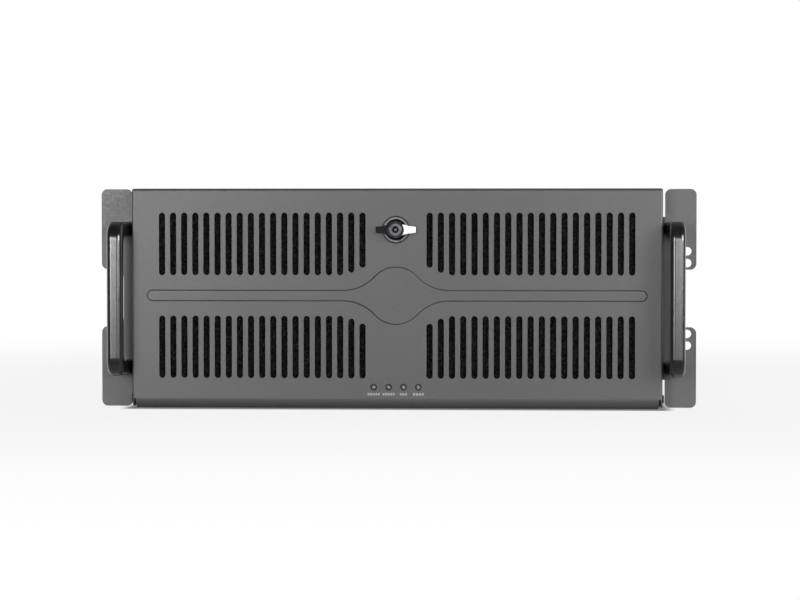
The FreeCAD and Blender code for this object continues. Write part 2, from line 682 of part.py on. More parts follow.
# ---- ears ------------------------------------------------------------------------------
def make_ear():
    """Right ear: slotted plate in front, bent back into a flange on the side wall."""
    edge = RACK_W / 2
    inner = edge - EAR_W
    low, high = EAR_MID - EAR_H / 2, EAR_MID + EAR_H / 2
    plate = rounded_prism(rectangle(inner, edge, low, high, EAR_CORNER), "Y", Y_EAR, EAR_T)
    flange_low = EAR_MID - EAR_FLANGE_H / 2
    # the bend's path runs from the plate inwards and then back along the wall
    path = [(edge - EAR_W / 2, Y_EAR), (HALF_W, Y_EAR), (HALF_W, Y_EAR + EAR_FLANGE_L)]
    bent = folded([(v, u) for v, u in path[::-1]], "Z", flange_low, EAR_FLANGE_H, EAR_T, EAR_BEND)
    ear = fused([plate, bent])
    notch_in = edge - EAR_NOTCH_DEPTH
    half = EAR_NOTCH_H / 2
    r = EAR_NOTCH_R_OUT
    notch = rounded_prism(rectangle(notch_in, edge + 3 * r, EAR_MID - half, EAR_MID + half, EAR_NOTCH_R_IN),
                          "Y", Y_EAR - 1, EAR_T + 2)
    corners = []
    for s in (-1, 1):
        z = EAR_MID + s * half
        square = box(edge - r, edge + 1, Y_EAR - 1, Y_EAR + EAR_T + 1, min(z, z + s * r), max(z, z + s * r))
        corners.append(square.cut(rod_y(r, edge - r, z + s * r, Y_EAR - 1, Y_EAR + EAR_T + 1)))
    holes = [notch] + corners
    for offset in RACK_SLOT_OFFSETS:
        for s in (-1, 1):
            holes.append(slot_y(RACK_HOLE_SPAN / 2, EAR_MID + s * offset, RACK_SLOT_W, RACK_SLOT_H,
                                Y_EAR - 1, Y_EAR + EAR_T + 1))
    for s in (-1, 1):
        z = EAR_MID + s * (HANDLE_H - HANDLE_ARM) / 2
        holes.append(rod_y(HANDLE_SCREW_R + SCREW_GAP, HANDLE_X, z, Y_EAR - 1, Y_EAR + EAR_T + 1))
    for side, y, z in ear_screw_places():
        if side > 0:
            holes.append(rod_x(EAR_SCREW_R, y, z, HALF_W - 1, HALF_W + EAR_T + 1))
    return cut(ear, holes)


def make_handle():
    y0 = Y_EAR - HANDLE_REACH
    low, high = EAR_MID - HANDLE_H / 2, EAR_MID + HANDLE_H / 2
    outline = [(Y_EAR, low, 0), (y0, low, HANDLE_BEND), (y0, high, HANDLE_BEND), (Y_EAR, high, 0),
               (Y_EAR, high - HANDLE_ARM, 0), (y0 + HANDLE_GRIP, high - HANDLE_ARM, HANDLE_BEND_IN),
               (y0 + HANDLE_GRIP, low + HANDLE_ARM, HANDLE_BEND_IN), (Y_EAR, low + HANDLE_ARM, 0)]
    inner, outer = HANDLE_X - HANDLE_W / 2, HANDLE_X + HANDLE_W / 2
    bar = rounded_prism(outline, "X", inner - HANDLE_FLARE, HANDLE_W + HANDLE_FLARE)
    plan = [(inner, y0 - 1, 0), (outer, y0 - 1, 0), (outer, Y_EAR, 0),
            (inner - HANDLE_FLARE, Y_EAR, 0), (inner, y0 + HANDLE_GRIP, 0)]
    bar = bar.common(rounded_prism(plan, "Z", low - 1, HANDLE_H + 2))
    rims = []
    for edge in bar.Edges:
        b = edge.BoundBox
        across = b.XLength > HANDLE_W / 2
        crease = b.YLength < TINY and b.ZLength < HANDLE_ARM + TINY
        if not across and not crease:
            rims.append(edge)
    bar = bar.makeFillet(HANDLE_EDGE, rims)
    holes = []
    for s in (-1, 1):
        z = EAR_MID + s * (HANDLE_H - HANDLE_ARM) / 2
        holes.append(rod_y(HANDLE_SCREW_R, HANDLE_X, z, Y_EAR - HANDLE_SCREW_BITE, Y_EAR + 1))
    return cut(bar, holes)


def make_ears_and_handles():
    nodes["ear_right"] = make_ear()
    nodes["ear_left"] = mirrored(nodes["ear_right"])
    nodes["handle_right"] = make_handle()
    nodes["handle_left"] = mirrored(nodes["handle_right"])
    back = Y_EAR + EAR_T
    screws = []
    for side in (-1, 1):
        for s in (-1, 1):
            at = vec(side * HANDLE_X, back, EAR_MID + s * (HANDLE_H - HANDLE_ARM) / 2)
            screws.append(pan_screw(HANDLE_SCREW_HEAD_R, HANDLE_SCREW_HEAD_H, HANDLE_SCREW_R,
                                    EAR_T + HANDLE_SCREW_BITE, at, vec(0, -1, 0)))
    nodes["handle_screws"] = group(screws)
    shank = EAR_T + SHEET
    nodes["ear_screws"] = group(
        pan_screw(EAR_SCREW_HEAD_R, EAR_SCREW_HEAD_H, EAR_SCREW_R, shank,
                  vec(side * (HALF_W + EAR_T), y, z), vec(-side, 0, 0))
        for side, y, z in ear_screw_places())


# ---- door ------------------------------------------------------------------------------
def emboss_outline(inset, y):
    """Round-ended band with a round swell in its middle, drawn inset at depth y."""
    band = BAND_HALF_H - inset
    swell = SWELL_R - inset
    blend = SWELL_BLEND_R + inset
    reach = SWELL_R + SWELL_BLEND_R
    rise = BAND_HALF_H + SWELL_BLEND_R
    blend_x = math.sqrt(reach ** 2 - rise ** 2)
    end_x = BAND_HALF_L - BAND_HALF_H
    ux, uz = blend_x / reach, rise / reach
    mx, mz = -ux, -uz - 1
    scale = blend / math.hypot(mx, mz)

    def at(x, z):
        return vec(x, y, PATTERN_MID + z)

    def arc(*points):
        return Part.Arc(*[at(*p) for p in points]).toShape()

    def line(a, b):
        return Part.LineSegment(at(*a), at(*b)).toShape()

    edges = []
    for s in (1, -1):
        touch = (swell * ux, s * swell * uz)
        hollow = (blend_x + mx * scale, s * (rise + mz * scale))
        foot = (blend_x, s * band)
        tip = (end_x, s * band)
        half = [arc(touch, hollow, foot), line(foot, tip)]
        other = [line((-tip[0], tip[1]), (-foot[0], foot[1])),
                 arc((-foot[0], foot[1]), (-hollow[0], hollow[1]), (-touch[0], touch[1]))]
        edges += half + other + [arc(touch, (0, s * swell), (-touch[0], touch[1]))]
    for s in (1, -1):
        edges.append(arc((s * end_x, band), (s * (end_x + band), 0), (s * end_x, -band)))
    return Part.Wire(Part.__sortEdges__(edges))


def emboss_solid(inset, y_base):
    """Sloping-walled swage standing EMBOSS_H in front of y_base."""
    base = emboss_outline(inset, y_base)
    crown = emboss_outline(inset + EMBOSS_SLOPE, y_base - EMBOSS_H)
    return Part.makeLoft([base, crown], True, True)


def door_slots():
    tools = []
    for i in range(SLOTS):
        trim = SLOT_TRIMS[i] if i < len(SLOT_TRIMS) else 0.0
        length = SLOT_L - trim
        for sx in (-1, 1):
            for sz in (-1, 1):
                x = sx * (SLOT_FIRST_X + i * SLOT_PITCH)
                z = PATTERN_MID + sz * (SLOT_ROW_Z + trim / 2)
                tools.append(slot_y(x, z, SLOT_W, length, Y_DOOR - 1, Y_DOOR_IN + 1))
    return tools


def stud_places():
    places = []
    for side in (-1, 1):
        for dz in TAB_Z_INNER:
            places.append((side * (FIELD_IN - TAB_L / 2), PATTERN_MID + dz))
        for dz in TAB_Z_OUTER:
            places.append((side * (FIELD_OUT + TAB_L / 2), PATTERN_MID + dz))
    return places


def make_door_panel():
    shell = box(-HALF_DOOR, HALF_DOOR, Y_DOOR, Y_DOOR_BACK, HINGE_Z, DOOR_TOP)
    hollow = box(-HALF_DOOR + SHEET, HALF_DOOR - SHEET, Y_DOOR_IN, Y_DOOR_BACK + 1,
                 HINGE_Z - 1, DOOR_TOP - SHEET)

    def front_edge(solid, y, x=None, z=None):
        found = []
        for edge in solid.Edges:
            b = edge.BoundBox
            if abs(b.YMin - y) > TINY or abs(b.YMax - y) > TINY:
                continue
            if z is not None and abs(b.ZMin - z) < TINY and abs(b.ZMax - z) < TINY:
                found.append(edge)
            if x is not None and abs(b.XMax - b.XMin) < TINY and abs(abs(b.XMin) - x) < TINY:
                found.append(edge)
        return found

    shell = shell.makeFillet(DOOR_TOP_R, front_edge(shell, Y_DOOR, z=DOOR_TOP))
    shell = shell.makeFillet(DOOR_SIDE_R, front_edge(shell, Y_DOOR, x=HALF_DOOR))
    hollow = hollow.makeFillet(DOOR_TOP_R - SHEET, front_edge(hollow, Y_DOOR_IN, z=DOOR_TOP - SHEET))
    hollow = hollow.makeFillet(DOOR_SIDE_R - SHEET, front_edge(hollow, Y_DOOR_IN, x=HALF_DOOR - SHEET))
    upper = shell.cut(hollow)
    # rolled bottom edge, stopping short of the side flanges where the hinge tabs stand
    flange_end = HINGE_Y + DOOR_BOTTOM_FLANGE
    roll_path = [(flange_end, DOOR_LIFT), (Y_DOOR, DOOR_LIFT), (Y_DOOR, HINGE_Z + SHEET)]
    roll = folded([(u, v) for u, v in roll_path[::-1]], "X", -ROLL_HALF_W, 2 * ROLL_HALF_W,
                  SHEET, DOOR_ROLL - SHEET)
    parts = [upper, roll]
    for side in (-1, 1):
        x0, x1 = sorted((side * (HALF_DOOR - SHEET), side * HALF_DOOR))
        parts.append(rod_x(DOOR_ROLL - SHEET, HINGE_Y, HINGE_Z, x0, x1))
    for x, z in stud_places():
        parts.append(rod_y(STUD_R, x, z, Y_DOOR_IN - TINY, Y_DOOR_IN + STUD_L))
    door = fused(parts)
    door = fused([door, emboss_solid(0.0, Y_DOOR)])
    tools = [emboss_solid(EMBOSS_BACK_INSET, Y_DOOR_IN)]
    tools += door_slots()
    tools += [rod_y(LED_HOLE_R, x, LED_ROW_Z, Y_DOOR - 1, Y_DOOR_IN + 1) for x in LED_XS]
    tools.append(rod_y(LOCK_BARREL_R + LOCK_HOLE_GAP, 0, LOCK_AXIS_Z, Y_DOOR - 1, Y_DOOR_IN + 1))
    for side in (-1, 1):
        x0, x1 = sorted((side * (HALF_DOOR - SHEET - 1), side * (HALF_DOOR + 1)))
        tools.append(rod_x(HINGE_PIN_R + HINGE_FIT, HINGE_Y, HINGE_Z, x0, x1))
    nodes["door_panel"] = cut(door, tools)


def make_hinge_pins():
    pins = []
    for side in (-1, 1):
        start, head = INNER_W - HINGE_TAIL, HALF_DOOR + HINGE_SIDE_GAP
        pin = rod_x(HINGE_PIN_R, HINGE_Y, HINGE_Z, start, head)
        pin = pin.fuse(rod_x(HINGE_HEAD_R, HINGE_Y, HINGE_Z, head, head + HINGE_HEAD_L))
        pins.append(pin if side > 0 else mirrored(pin))
    nodes["hinge_pins"] = group(pins)


def make_light_pipes():
    bezels, pipes = [], []
    bore = LED_HOLE_R - LED_BEZEL_WALL
    for x in LED_XS:
        back = Y_DOOR_IN + LED_BEZEL_FLANGE
        rim = rod_y(LED_HOLE_R + LED_BEZEL_FLANGE, x, LED_ROW_Z, Y_DOOR_IN, back)
        tube = rod_y(LED_HOLE_R, x, LED_ROW_Z, Y_DOOR, Y_DOOR + LED_BEZEL_L)
        bezels.append(rim.fuse(tube).cut(rod_y(bore, x, LED_ROW_Z, Y_DOOR - 1, Y_DOOR + LED_BEZEL_L + 1)))
        front = Y_DOOR + PIPE_RECESS
        pipes.append(turned_y(x, LED_ROW_Z, [
            (0, front), (bore - PIPE_RECESS, front), (bore, front + PIPE_RECESS),
            (bore, Y_DOOR + LED_BEZEL_L), (bore + PIPE_COLLAR, Y_DOOR + LED_BEZEL_L),
            (bore + PIPE_COLLAR, Y_DOOR + LED_BEZEL_L + PIPE_COLLAR),
            (bore, Y_DOOR + LED_BEZEL_L + PIPE_COLLAR), (bore, front + PIPE_L), (0, front + PIPE_L)]))
    nodes["led_bezels"] = group(bezels)
    nodes["light_pipes"] = group(pipes)


# ---- dust filters behind the slots -----------------------------------------------------
def make_filters():
    foam_back = Y_DOOR_IN + FOAM_T
    low, high = PATTERN_MID - FIELD_HALF_H, PATTERN_MID + FIELD_HALF_H
    foam = box(FIELD_IN, FIELD_OUT, Y_DOOR_IN, foam_back, low, high)
    frame = box(FIELD_IN, FIELD_OUT, foam_back, foam_back + FILTER_T, low, high)
    inner = (FIELD_IN + FILTER_RIM, FIELD_OUT - FILTER_RIM, low + FILTER_RIM, high - FILTER_RIM)
    middle = PATTERN_MID
    pane_w = (inner[1] - inner[0] - FILTER_BARS * FILTER_BAR) / (FILTER_BARS + 1)
    panes = []
    for i in range(FILTER_BARS + 1):
        x0 = inner[0] + i * (pane_w + FILTER_BAR)
        for z0, z1 in ((inner[2], middle - FILTER_BAR / 2), (middle + FILTER_BAR / 2, inner[3])):
            panes.append(rounded_prism(rectangle(x0, x0 + pane_w, z0, z1, FILTER_BAR / 2), "Y",
                                       foam_back - 1, FILTER_T + 2))
    frame = cut(frame, panes)
    tabs, holes, nuts = [], [], []
    for x, z in stud_places():
        if x > 0:
            inwards = x < FIELD_IN
            x0, x1 = (x - TAB_L / 2, FIELD_IN + 1) if inwards else (FIELD_OUT - 1, x + TAB_L / 2)
            tabs.append(box(x0, x1, foam_back, foam_back + FILTER_T, z - TAB_W / 2, z + TAB_W / 2))
            holes.append(rod_y(STUD_R + STUD_GAP, x, z, foam_back - 1, foam_back + FILTER_T + 1))
        nut_y = foam_back + FILTER_T
        nut = hexagon_y(STUD_NUT_AF, x, z, nut_y, nut_y + STUD_NUT_H)
        nuts.append(nut.cut(rod_y(STUD_R, x, z, nut_y - 1, nut_y + STUD_NUT_H + 1)))
    frame = cut(fused([frame] + tabs), holes)
    nodes["foam_filter_right"] = foam
    nodes["foam_filter_left"] = mirrored(foam)
    nodes["filter_frame_right"] = frame
    nodes["filter_frame_left"] = mirrored(frame)
    nodes["filter_nuts"] = group(nuts)


# ---- lock ------------------------------------------------------------------------------
def make_lock():
    z = LOCK_AXIS_Z
    dish = Y_DOOR - LOCK_RING_H + LOCK_RING_STEP
    barrel_end = Y_DOOR + LOCK_BARREL_L
    ring = turned_y(0, z, [
        (LOCK_BORE_R + LOCK_FIT, dish), (LOCK_RING_IN_R - LOCK_RING_STEP / 2, dish),
        (LOCK_RING_IN_R, Y_DOOR - LOCK_RING_H), (LOCK_RING_R - LOCK_RING_H / 2, Y_DOOR - LOCK_RING_H),
        (LOCK_RING_R, Y_DOOR - LOCK_RING_H / 2), (LOCK_RING_R, Y_DOOR), (LOCK_BARREL_R, Y_DOOR),
        (LOCK_BARREL_R, barrel_end), (LOCK_BORE_R + LOCK_FIT, barrel_end)])
    nodes["lock_housing"] = ring
    nut = hexagon_y(LOCK_NUT_AF, 0, z, Y_DOOR_IN, Y_DOOR_IN + LOCK_NUT_H)
    nodes["lock_nut"] = nut.cut(rod_y(LOCK_BARREL_R, 0, z, Y_DOOR_IN - 1, Y_DOOR_IN + LOCK_NUT_H + 1))

    face = Y_DOOR - KNOB_REACH
    foot = dish - KNOB_LIFT
    shank_end = barrel_end + LOCK_COLLAR
    hub = turned_y(0, z, [
        (0, face), (KNOB_FACE_R - KNOB_LIFT, face), (KNOB_FACE_R, face + KNOB_LIFT), (KNOB_R, foot),
        (LOCK_BORE_R, foot), (LOCK_BORE_R, shank_end), (0, shank_end)])
    # wings: plan drawn in XY with the tips swept back, height tapering from root to tip
    tip_x = WING_SPAN / 2
    root_x = KNOB_FACE_R - 1
    tip_front = Y_DOOR - WING_TIP_Y
    clear = Y_DOOR - LOCK_RING_H - KNOB_LIFT
    wings = []
    for side in (-1, 1):
        sections = []
        for x, h, front, back in ((root_x, WING_ROOT_H, face + 1, clear),
                                  (LOCK_RING_R, WING_TIP_H + 1, tip_front - WING_T, clear),
                                  (tip_x, WING_TIP_H, tip_front, min(tip_front + WING_T, clear))):
            corners = [vec(side * x, front, z - h / 2), vec(side * x, front, z + h / 2),
                       vec(side * x, back, z + h / 2), vec(side * x, back, z - h / 2)]
            sections.append(Part.makePolygon(corners + corners[:1]))
        wings.append(Part.makeLoft(sections, True, True))
    square_end = CAM_Y + CAM_T
    half = CAM_SQUARE / 2
    square = box(-half, half, shank_end, square_end, z - half, z + half)
    knob = fused([hub, square] + wings)
    plug_hole = rod_y(PLUG_R + PLUG_FIT, 0, z, face - 1, face + PLUG_L)
    screw_hole = rod_y(CAM_SCREW_R, 0, z, square_end - CAM_SCREW_L, square_end + 1)
    nodes["lock_knob"] = cut(knob, [plug_hole, screw_hole])

    plug = rod_y(PLUG_R, 0, z, face - PLUG_PROUD, face + PLUG_L)
    front_rim = [e for e in plug.Edges if abs(e.BoundBox.YMax - (face - PLUG_PROUD)) < TINY]
    plug = plug.makeFillet(PLUG_PROUD / 2, front_rim)
    key_way = rod_y(KEY_RING_R, 0, z, face - 1, face + KEY_DEPTH)
    key_way = key_way.cut(rod_y(KEY_CORE_R, 0, z, face, face + KEY_DEPTH))
    nodes["lock_cylinder"] = plug.cut(key_way)

    reach = CAM_L - CAM_W / 2
    cam = rounded_prism(rectangle(-CAM_W / 2, reach + CAM_W / 2, z - CAM_W / 2, z + CAM_W / 2,
                                  CAM_W / 2 - TINY), "Y", CAM_Y, CAM_T)
    nodes["lock_cam"] = cam.cut(box(-half, half, CAM_Y - 1, square_end + 1, z - half, z + half))
    nodes["cam_screw"] = pan_screw(CAM_SCREW_HEAD_R, CAM_SCREW_HEAD_H, CAM_SCREW_R, CAM_SCREW_L,
                                   vec(0, square_end, z), vec(0, -1, 0))


# ---- front panel and its bays ----------------------------------------------------------
def front_fan():
    size = FRONT_FAN_SIZE[0]
    return (FRONT_FAN_WALL_GAP + size / 2 - INNER_W, BODY_H / 2) + FRONT_FAN_SIZE


def rear_fans():
    """Both rear fans, the outer one beside the power supply's window."""
    size = REAR_FAN_SIZE[0]
    z = TRAY_TOP - REAR_FAN_DROP
    x = PSU_X - PSU_RIM - size / 2
    return [(x - size - REAR_FAN_GAP, z) + REAR_FAN_SIZE, (x, z) + REAR_FAN_SIZE]


def board_posts():
    xs = (BOARD_X[0] + BOARD_POST_INSET, BOARD_X[1] - BOARD_POST_INSET)
    zs = (BOARD_ZS[0] + BOARD_POST_INSET, BOARD_ZS[1] - BOARD_POST_INSET)
    return [(x, z) for x in xs for z in zs]


def bay_z(i):
    return BAY_Z + i * BAY_H


def grille_cuts(x, z, size, y):
    """Ring-shaped openings crossed by four spokes, in front of a fan."""
    half = GRILLE_SPOKE_W / 2
    level = box(x - size, x + size, y - 2, y + SHEET + 2, z - half, z + half)
    upright = box(x - half, x + half, y - 2, y + SHEET + 2, z - size, z + size)
    spokes = level.fuse(upright)
    rings = []
    r = size / 2 - FAN_WALL
    while r > 2 * GRILLE_RING_W:
        ring = rod_y(r, x, z, y - 1, y + SHEET + 1)
        ring = ring.cut(rod_y(r - GRILLE_RING_W, x, z, y - 1, y + SHEET + 1))
        rings.append(ring.cut(spokes))
        r -= GRILLE_RING_W + GRILLE_RIB_W
    return rings


def fan_holes(x, z, offset, y):
    return [rod_y(FAN_SCREW_R, x + sx * offset, z + sz * offset, y - 1, y + SHEET + 1)
            for sx in (-1, 1) for sz in (-1, 1)]


def make_pan(y_face, depth, backwards):
    """Shallow flanged pan that fills the tray's section; flanges run back or forwards."""
    low, high = SHEET, TRAY_TOP - SHEET
    y0, y1 = (y_face, y_face + depth) if backwards else (y_face - depth, y_face)
    outer = box(-INNER_W, INNER_W, y0, y1, low, high)
    inner_y = (y0 + SHEET, y1 + 1) if backwards else (y0 - 1, y1 - SHEET)
    inner = box(-INNER_W + SHEET, INNER_W - SHEET, *inner_y, low + SHEET, high - SHEET)
    pan = outer.cut(inner)
    relief = 2 * BEND            # clears the bends of the tray
    corners = []
    for sx in (-1, 1):
        x0, x1 = sorted((sx * (INNER_W - relief), sx * (INNER_W + 1)))
        corners.append(box(x0, x1, y0 - 1, y1 + 1, low - 1, low + relief))
        corners.append(box(x0, x1, y0 - 1, y1 + 1, high - relief, high + 1))
    return cut(pan, corners)


def make_front_panel():
    y = Y_PANEL
    fx, fz, fan_size, offset, _ = front_fan()
    tools = grille_cuts(fx, fz, fan_size, y) + fan_holes(fx, fz, offset, y)
    for i in range(BAYS):
        z = bay_z(i)
        tools.append(box(BAY_X - BAY_W / 2, BAY_X + BAY_W / 2, y - 1, y + SHEET + 1, z, z + BAY_H))
    tools.append(box(FLOPPY_X - FLOPPY_W / 2, FLOPPY_X + FLOPPY_W / 2, y - 1, y + SHEET + 1,
                     FLOPPY_Z, FLOPPY_Z + FLOPPY_H))
    z = LOCK_AXIS_Z
    tools.append(rounded_prism(rectangle(*CAM_SLOT_X, z - CAM_SLOT_H / 2, z + CAM_SLOT_H / 2, CAM_SLOT_R),
                               "Y", y - 1, SHEET + 2))
    tools.append(rod_y(POWER_R + BUTTON_FIT, POWER_X, BUTTON_Z, y - 1, y + SHEET + 1))
    tools.append(rod_y(RESET_R + BUTTON_FIT, RESET_X, BUTTON_Z, y - 1, y + SHEET + 1))
    for x in USB_XS:
        w, h = USB_W / 2 + USB_GAP, USB_H / 2 + USB_GAP
        tools.append(box(x - w, x + w, y - 1, y + SHEET + 1, USB_Z - h, USB_Z + h))
    tools += [rod_y(LED_R + LED_GAP, x, LED_ROW_Z, y - 1, y + SHEET + 1) for x in LED_XS]
    nodes["front_panel"] = cut(make_pan(y, PANEL_FLANGE, True), tools + rivet_shanks())


def make_bay_cover(x, w, z, h):
    """Moulded blank: flush plate with a finger groove and two rear lugs."""
    plate = box(x - w / 2, x + w / 2, Y_PANEL, Y_PANEL + BAY_COVER_T, z, z + h)
    front = [e for e in plate.Edges if abs(e.BoundBox.YMax - Y_PANEL) < TINY]
    plate = plate.makeChamfer(BAY_EDGE, front)
    groove = slot_y(x, z + h / 2, w / 3, BAY_COVER_GRIP, Y_PANEL - 1, Y_PANEL + BAY_COVER_T / 2)
    lugs = []
    for s in (-1, 1):
        x0, x1 = sorted((x + s * (w / 2 - 2 * SHEET), x + s * w / 2))
        lugs.append(box(x0, x1, Y_PANEL + BAY_COVER_T, Y_PANEL + BAY_COVER_T + BAY_COVER_LUG,
                        z + h / 4, z + 3 * h / 4))
    return fused([plate.cut(groove)] + lugs)


def make_bay_covers():
    for i, name in enumerate(("lower", "middle", "upper")):
        nodes["bay_cover_" + name] = make_bay_cover(BAY_X, BAY_W - 2 * BAY_EDGE, bay_z(i) + BAY_EDGE / 2,
                                                    BAY_H - BAY_EDGE)
    nodes["floppy_bay_cover"] = make_bay_cover(FLOPPY_X, FLOPPY_W - 2 * BAY_EDGE, FLOPPY_Z + BAY_EDGE,
                                               FLOPPY_H - 2 * BAY_EDGE)


def make_cage(x, inner_w, z_low, z_high, depth, rails):
    """Folded hood on two inturned feet, with a shelf and a row of screw slots per drive."""
    half = inner_w / 2 + CAGE_T
    top = z_high + CAGE_T
    path = [(x + half - CAGE_FOOT, SHEET), (x + half, SHEET), (x + half, top),
            (x - half, top), (x - half, SHEET), (x - half + CAGE_FOOT, SHEET)]
    hood = folded(path, "Y", CAGE_Y, depth, CAGE_T)
    # the front corners are notched over the front panel's bottom flange
    notch_y = Y_PANEL + PANEL_FLANGE + CAGE_GAP
    tools = [box(x - half - 1, x + half + 1, CAGE_Y - 1, notch_y, 0, 2 * SHEET + CAGE_GAP)]
    shelves = []
    for z, height in rails:
        for k in range(CAGE_SLOTS):
            y = CAGE_Y + depth * (k + 1) / (CAGE_SLOTS + 1)
            tools.append(slot_x(y, z + height / 2, RAIL_W * 3, RAIL_W, x - half - 1, x + half + 1))
        for s in (-1, 1):
            x0, x1 = sorted((x + s * (inner_w / 2 - RAIL_W), x + s * (inner_w / 2 + CAGE_T / 2)))
            shelves.append(box(x0, x1, CAGE_Y + BAY_COVER_LUG + BAY_COVER_T, CAGE_Y + depth,
                               z - RAIL_T, z))
    tools += [make_cage_screw(*at) for at in cage_screw_places()]
    return cut(fused([hood] + shelves), tools)


def make_cages():
    rails = [(bay_z(i), BAY_H) for i in range(BAYS)]
    nodes["drive_cage"] = make_cage(BAY_X, BAY_W, bay_z(0), bay_z(BAYS), CAGE_DEPTH, rails)
    nodes["floppy_cage"] = make_cage(FLOPPY_X, FLOPPY_W, FLOPPY_Z, FLOPPY_Z + FLOPPY_H, FLOPPY_CAGE_DEPTH,
                                     [(FLOPPY_Z, FLOPPY_H)])


# ---- buttons, sockets and boards -------------------------------------------------------
def make_button(x, r):
    front = Y_PANEL - BUTTON_PROUD
    rim = Y_PANEL + SHEET + TINY
    return turned_y(x, BUTTON_Z, [
        (0, front), (r - BUTTON_DOME, front), (r, front + BUTTON_DOME), (r, rim),
        (r + BUTTON_RIM, rim), (r + BUTTON_RIM, rim + BUTTON_RIM_T), (r / 2, rim + BUTTON_RIM_T),
        (r / 2, Y_PANEL + BUTTON_BACK), (0, Y_PANEL + BUTTON_BACK)])


def make_controls():
    nodes["power_button"] = make_button(POWER_X, POWER_R)
    nodes["reset_button"] = make_button(RESET_X, RESET_R)
    board_y = Y_PANEL + BOARD_Y
    holes = [rod_y(STUD_R, x, z, board_y - 1, board_y + BOARD_T + 1) for x, z in board_posts()]
    board = box(*BOARD_X, board_y, board_y + BOARD_T, *BOARD_ZS)
    nodes["control_board"] = cut(board, holes)
    switch_front = Y_PANEL + BUTTON_BACK + BUTTON_TRAVEL + SWITCH_GAP
    half = SWITCH_SIZE / 2
    nodes["tact_switches"] = group(
        box(x - half, x + half, switch_front + 1, board_y, BUTTON_Z - half, BUTTON_Z + half).fuse(
            rod_y(half / 2, x, BUTTON_Z, switch_front, switch_front + 1))
        for x in (POWER_X, RESET_X))
    sockets = []
    for x in USB_XS:
        w, h = USB_W / 2, USB_H / 2
        shell = box(x - w, x + w, Y_PANEL, board_y, USB_Z - h, USB_Z + h)
        mouth = box(x - w + USB_WALL, x + w - USB_WALL, Y_PANEL - 1, board_y - 1,
                    USB_Z - h + USB_WALL, USB_Z + h - USB_WALL)
        tongue = box(x - w + 3 * USB_WALL, x + w - 3 * USB_WALL, Y_PANEL + 1, board_y - USB_WALL,
                     USB_Z + USB_WALL, USB_Z + h / 2 + USB_WALL)
        sockets.append(fused([shell.cut(mouth), tongue]))
    nodes["usb_sockets"] = group(sockets)
    led_board_y = Y_PANEL + LED_BOARD_Y
    post_xs = [LED_ROW_X + s * LED_POST_X for s in (-1, 1)]
    led_board = box(LED_ROW_X - LED_BOARD_W / 2, LED_ROW_X + LED_BOARD_W / 2, led_board_y,
                    led_board_y + BOARD_T, LED_ROW_Z - LED_BOARD_H / 2, LED_ROW_Z + LED_BOARD_H / 2)
    nodes["led_board"] = cut(led_board, [rod_y(STUD_R, x, LED_ROW_Z, led_board_y - 1,
                                               led_board_y + BOARD_T + 1) for x in post_xs])
    nodes["panel_leds"] = group(make_led(x, led_board_y) for x in LED_XS)
    posts = [make_post(x, z, Y_PANEL + SHEET, board_y, board_y + BOARD_T) for x, z in board_posts()]
    posts += [make_post(x, LED_ROW_Z, Y_PANEL + SHEET, led_board_y, led_board_y + BOARD_T) for x in post_xs]
    nodes["board_posts"] = group(posts)


def make_led(x, board_y):
    tip = Y_PANEL - LED_TIP
    body = rod_y(LED_R, x, LED_ROW_Z, tip + LED_R, board_y)
    dome = Part.makeSphere(LED_R, vec(x, tip + LED_R, LED_ROW_Z))
    foot = rod_y(LED_R + LED_GAP, x, LED_ROW_Z, board_y - 1, board_y)
    return fused([body, dome, foot])


def make_post(x, z, y0, y1, y2):
    return rod_y(POST_R, x, z, y0, y1).fuse(rod_y(STUD_R, x, z, y1, y2))


# ---- fans ------------------------------------------------------------------------------
def fan_blade(x, z, hub_r, tip_r, y, depth, turn):
    """Twisted blade lofted from a steep root to a flatter tip."""
    root_r = hub_r - FAN_CUP_WALL / 2
    rise, half = depth / 2, FAN_BLADE_T / 2
    sections = []
    for share in (0.0, 0.5, 1.0):
        r = root_r + (tip_r - root_r) * share
        pitch = FAN_BLADE_ROOT_DEG + (FAN_BLADE_TIP_DEG - FAN_BLADE_ROOT_DEG) * share
        skew = rise * math.tan(math.radians(pitch)) * r / tip_r / 2
        corners = [(-skew - half, -rise), (-skew + half, -rise), (skew + half, rise), (skew - half, rise)]
        ring = [vec(x + u, y + v, z + r) for u, v in corners]
        sections.append(Part.makePolygon(ring + ring[:1]))
    blade = Part.makeLoft(sections, True, True)
    return blade.rotated(vec(x, y, z), vec(0, 1, 0), turn)


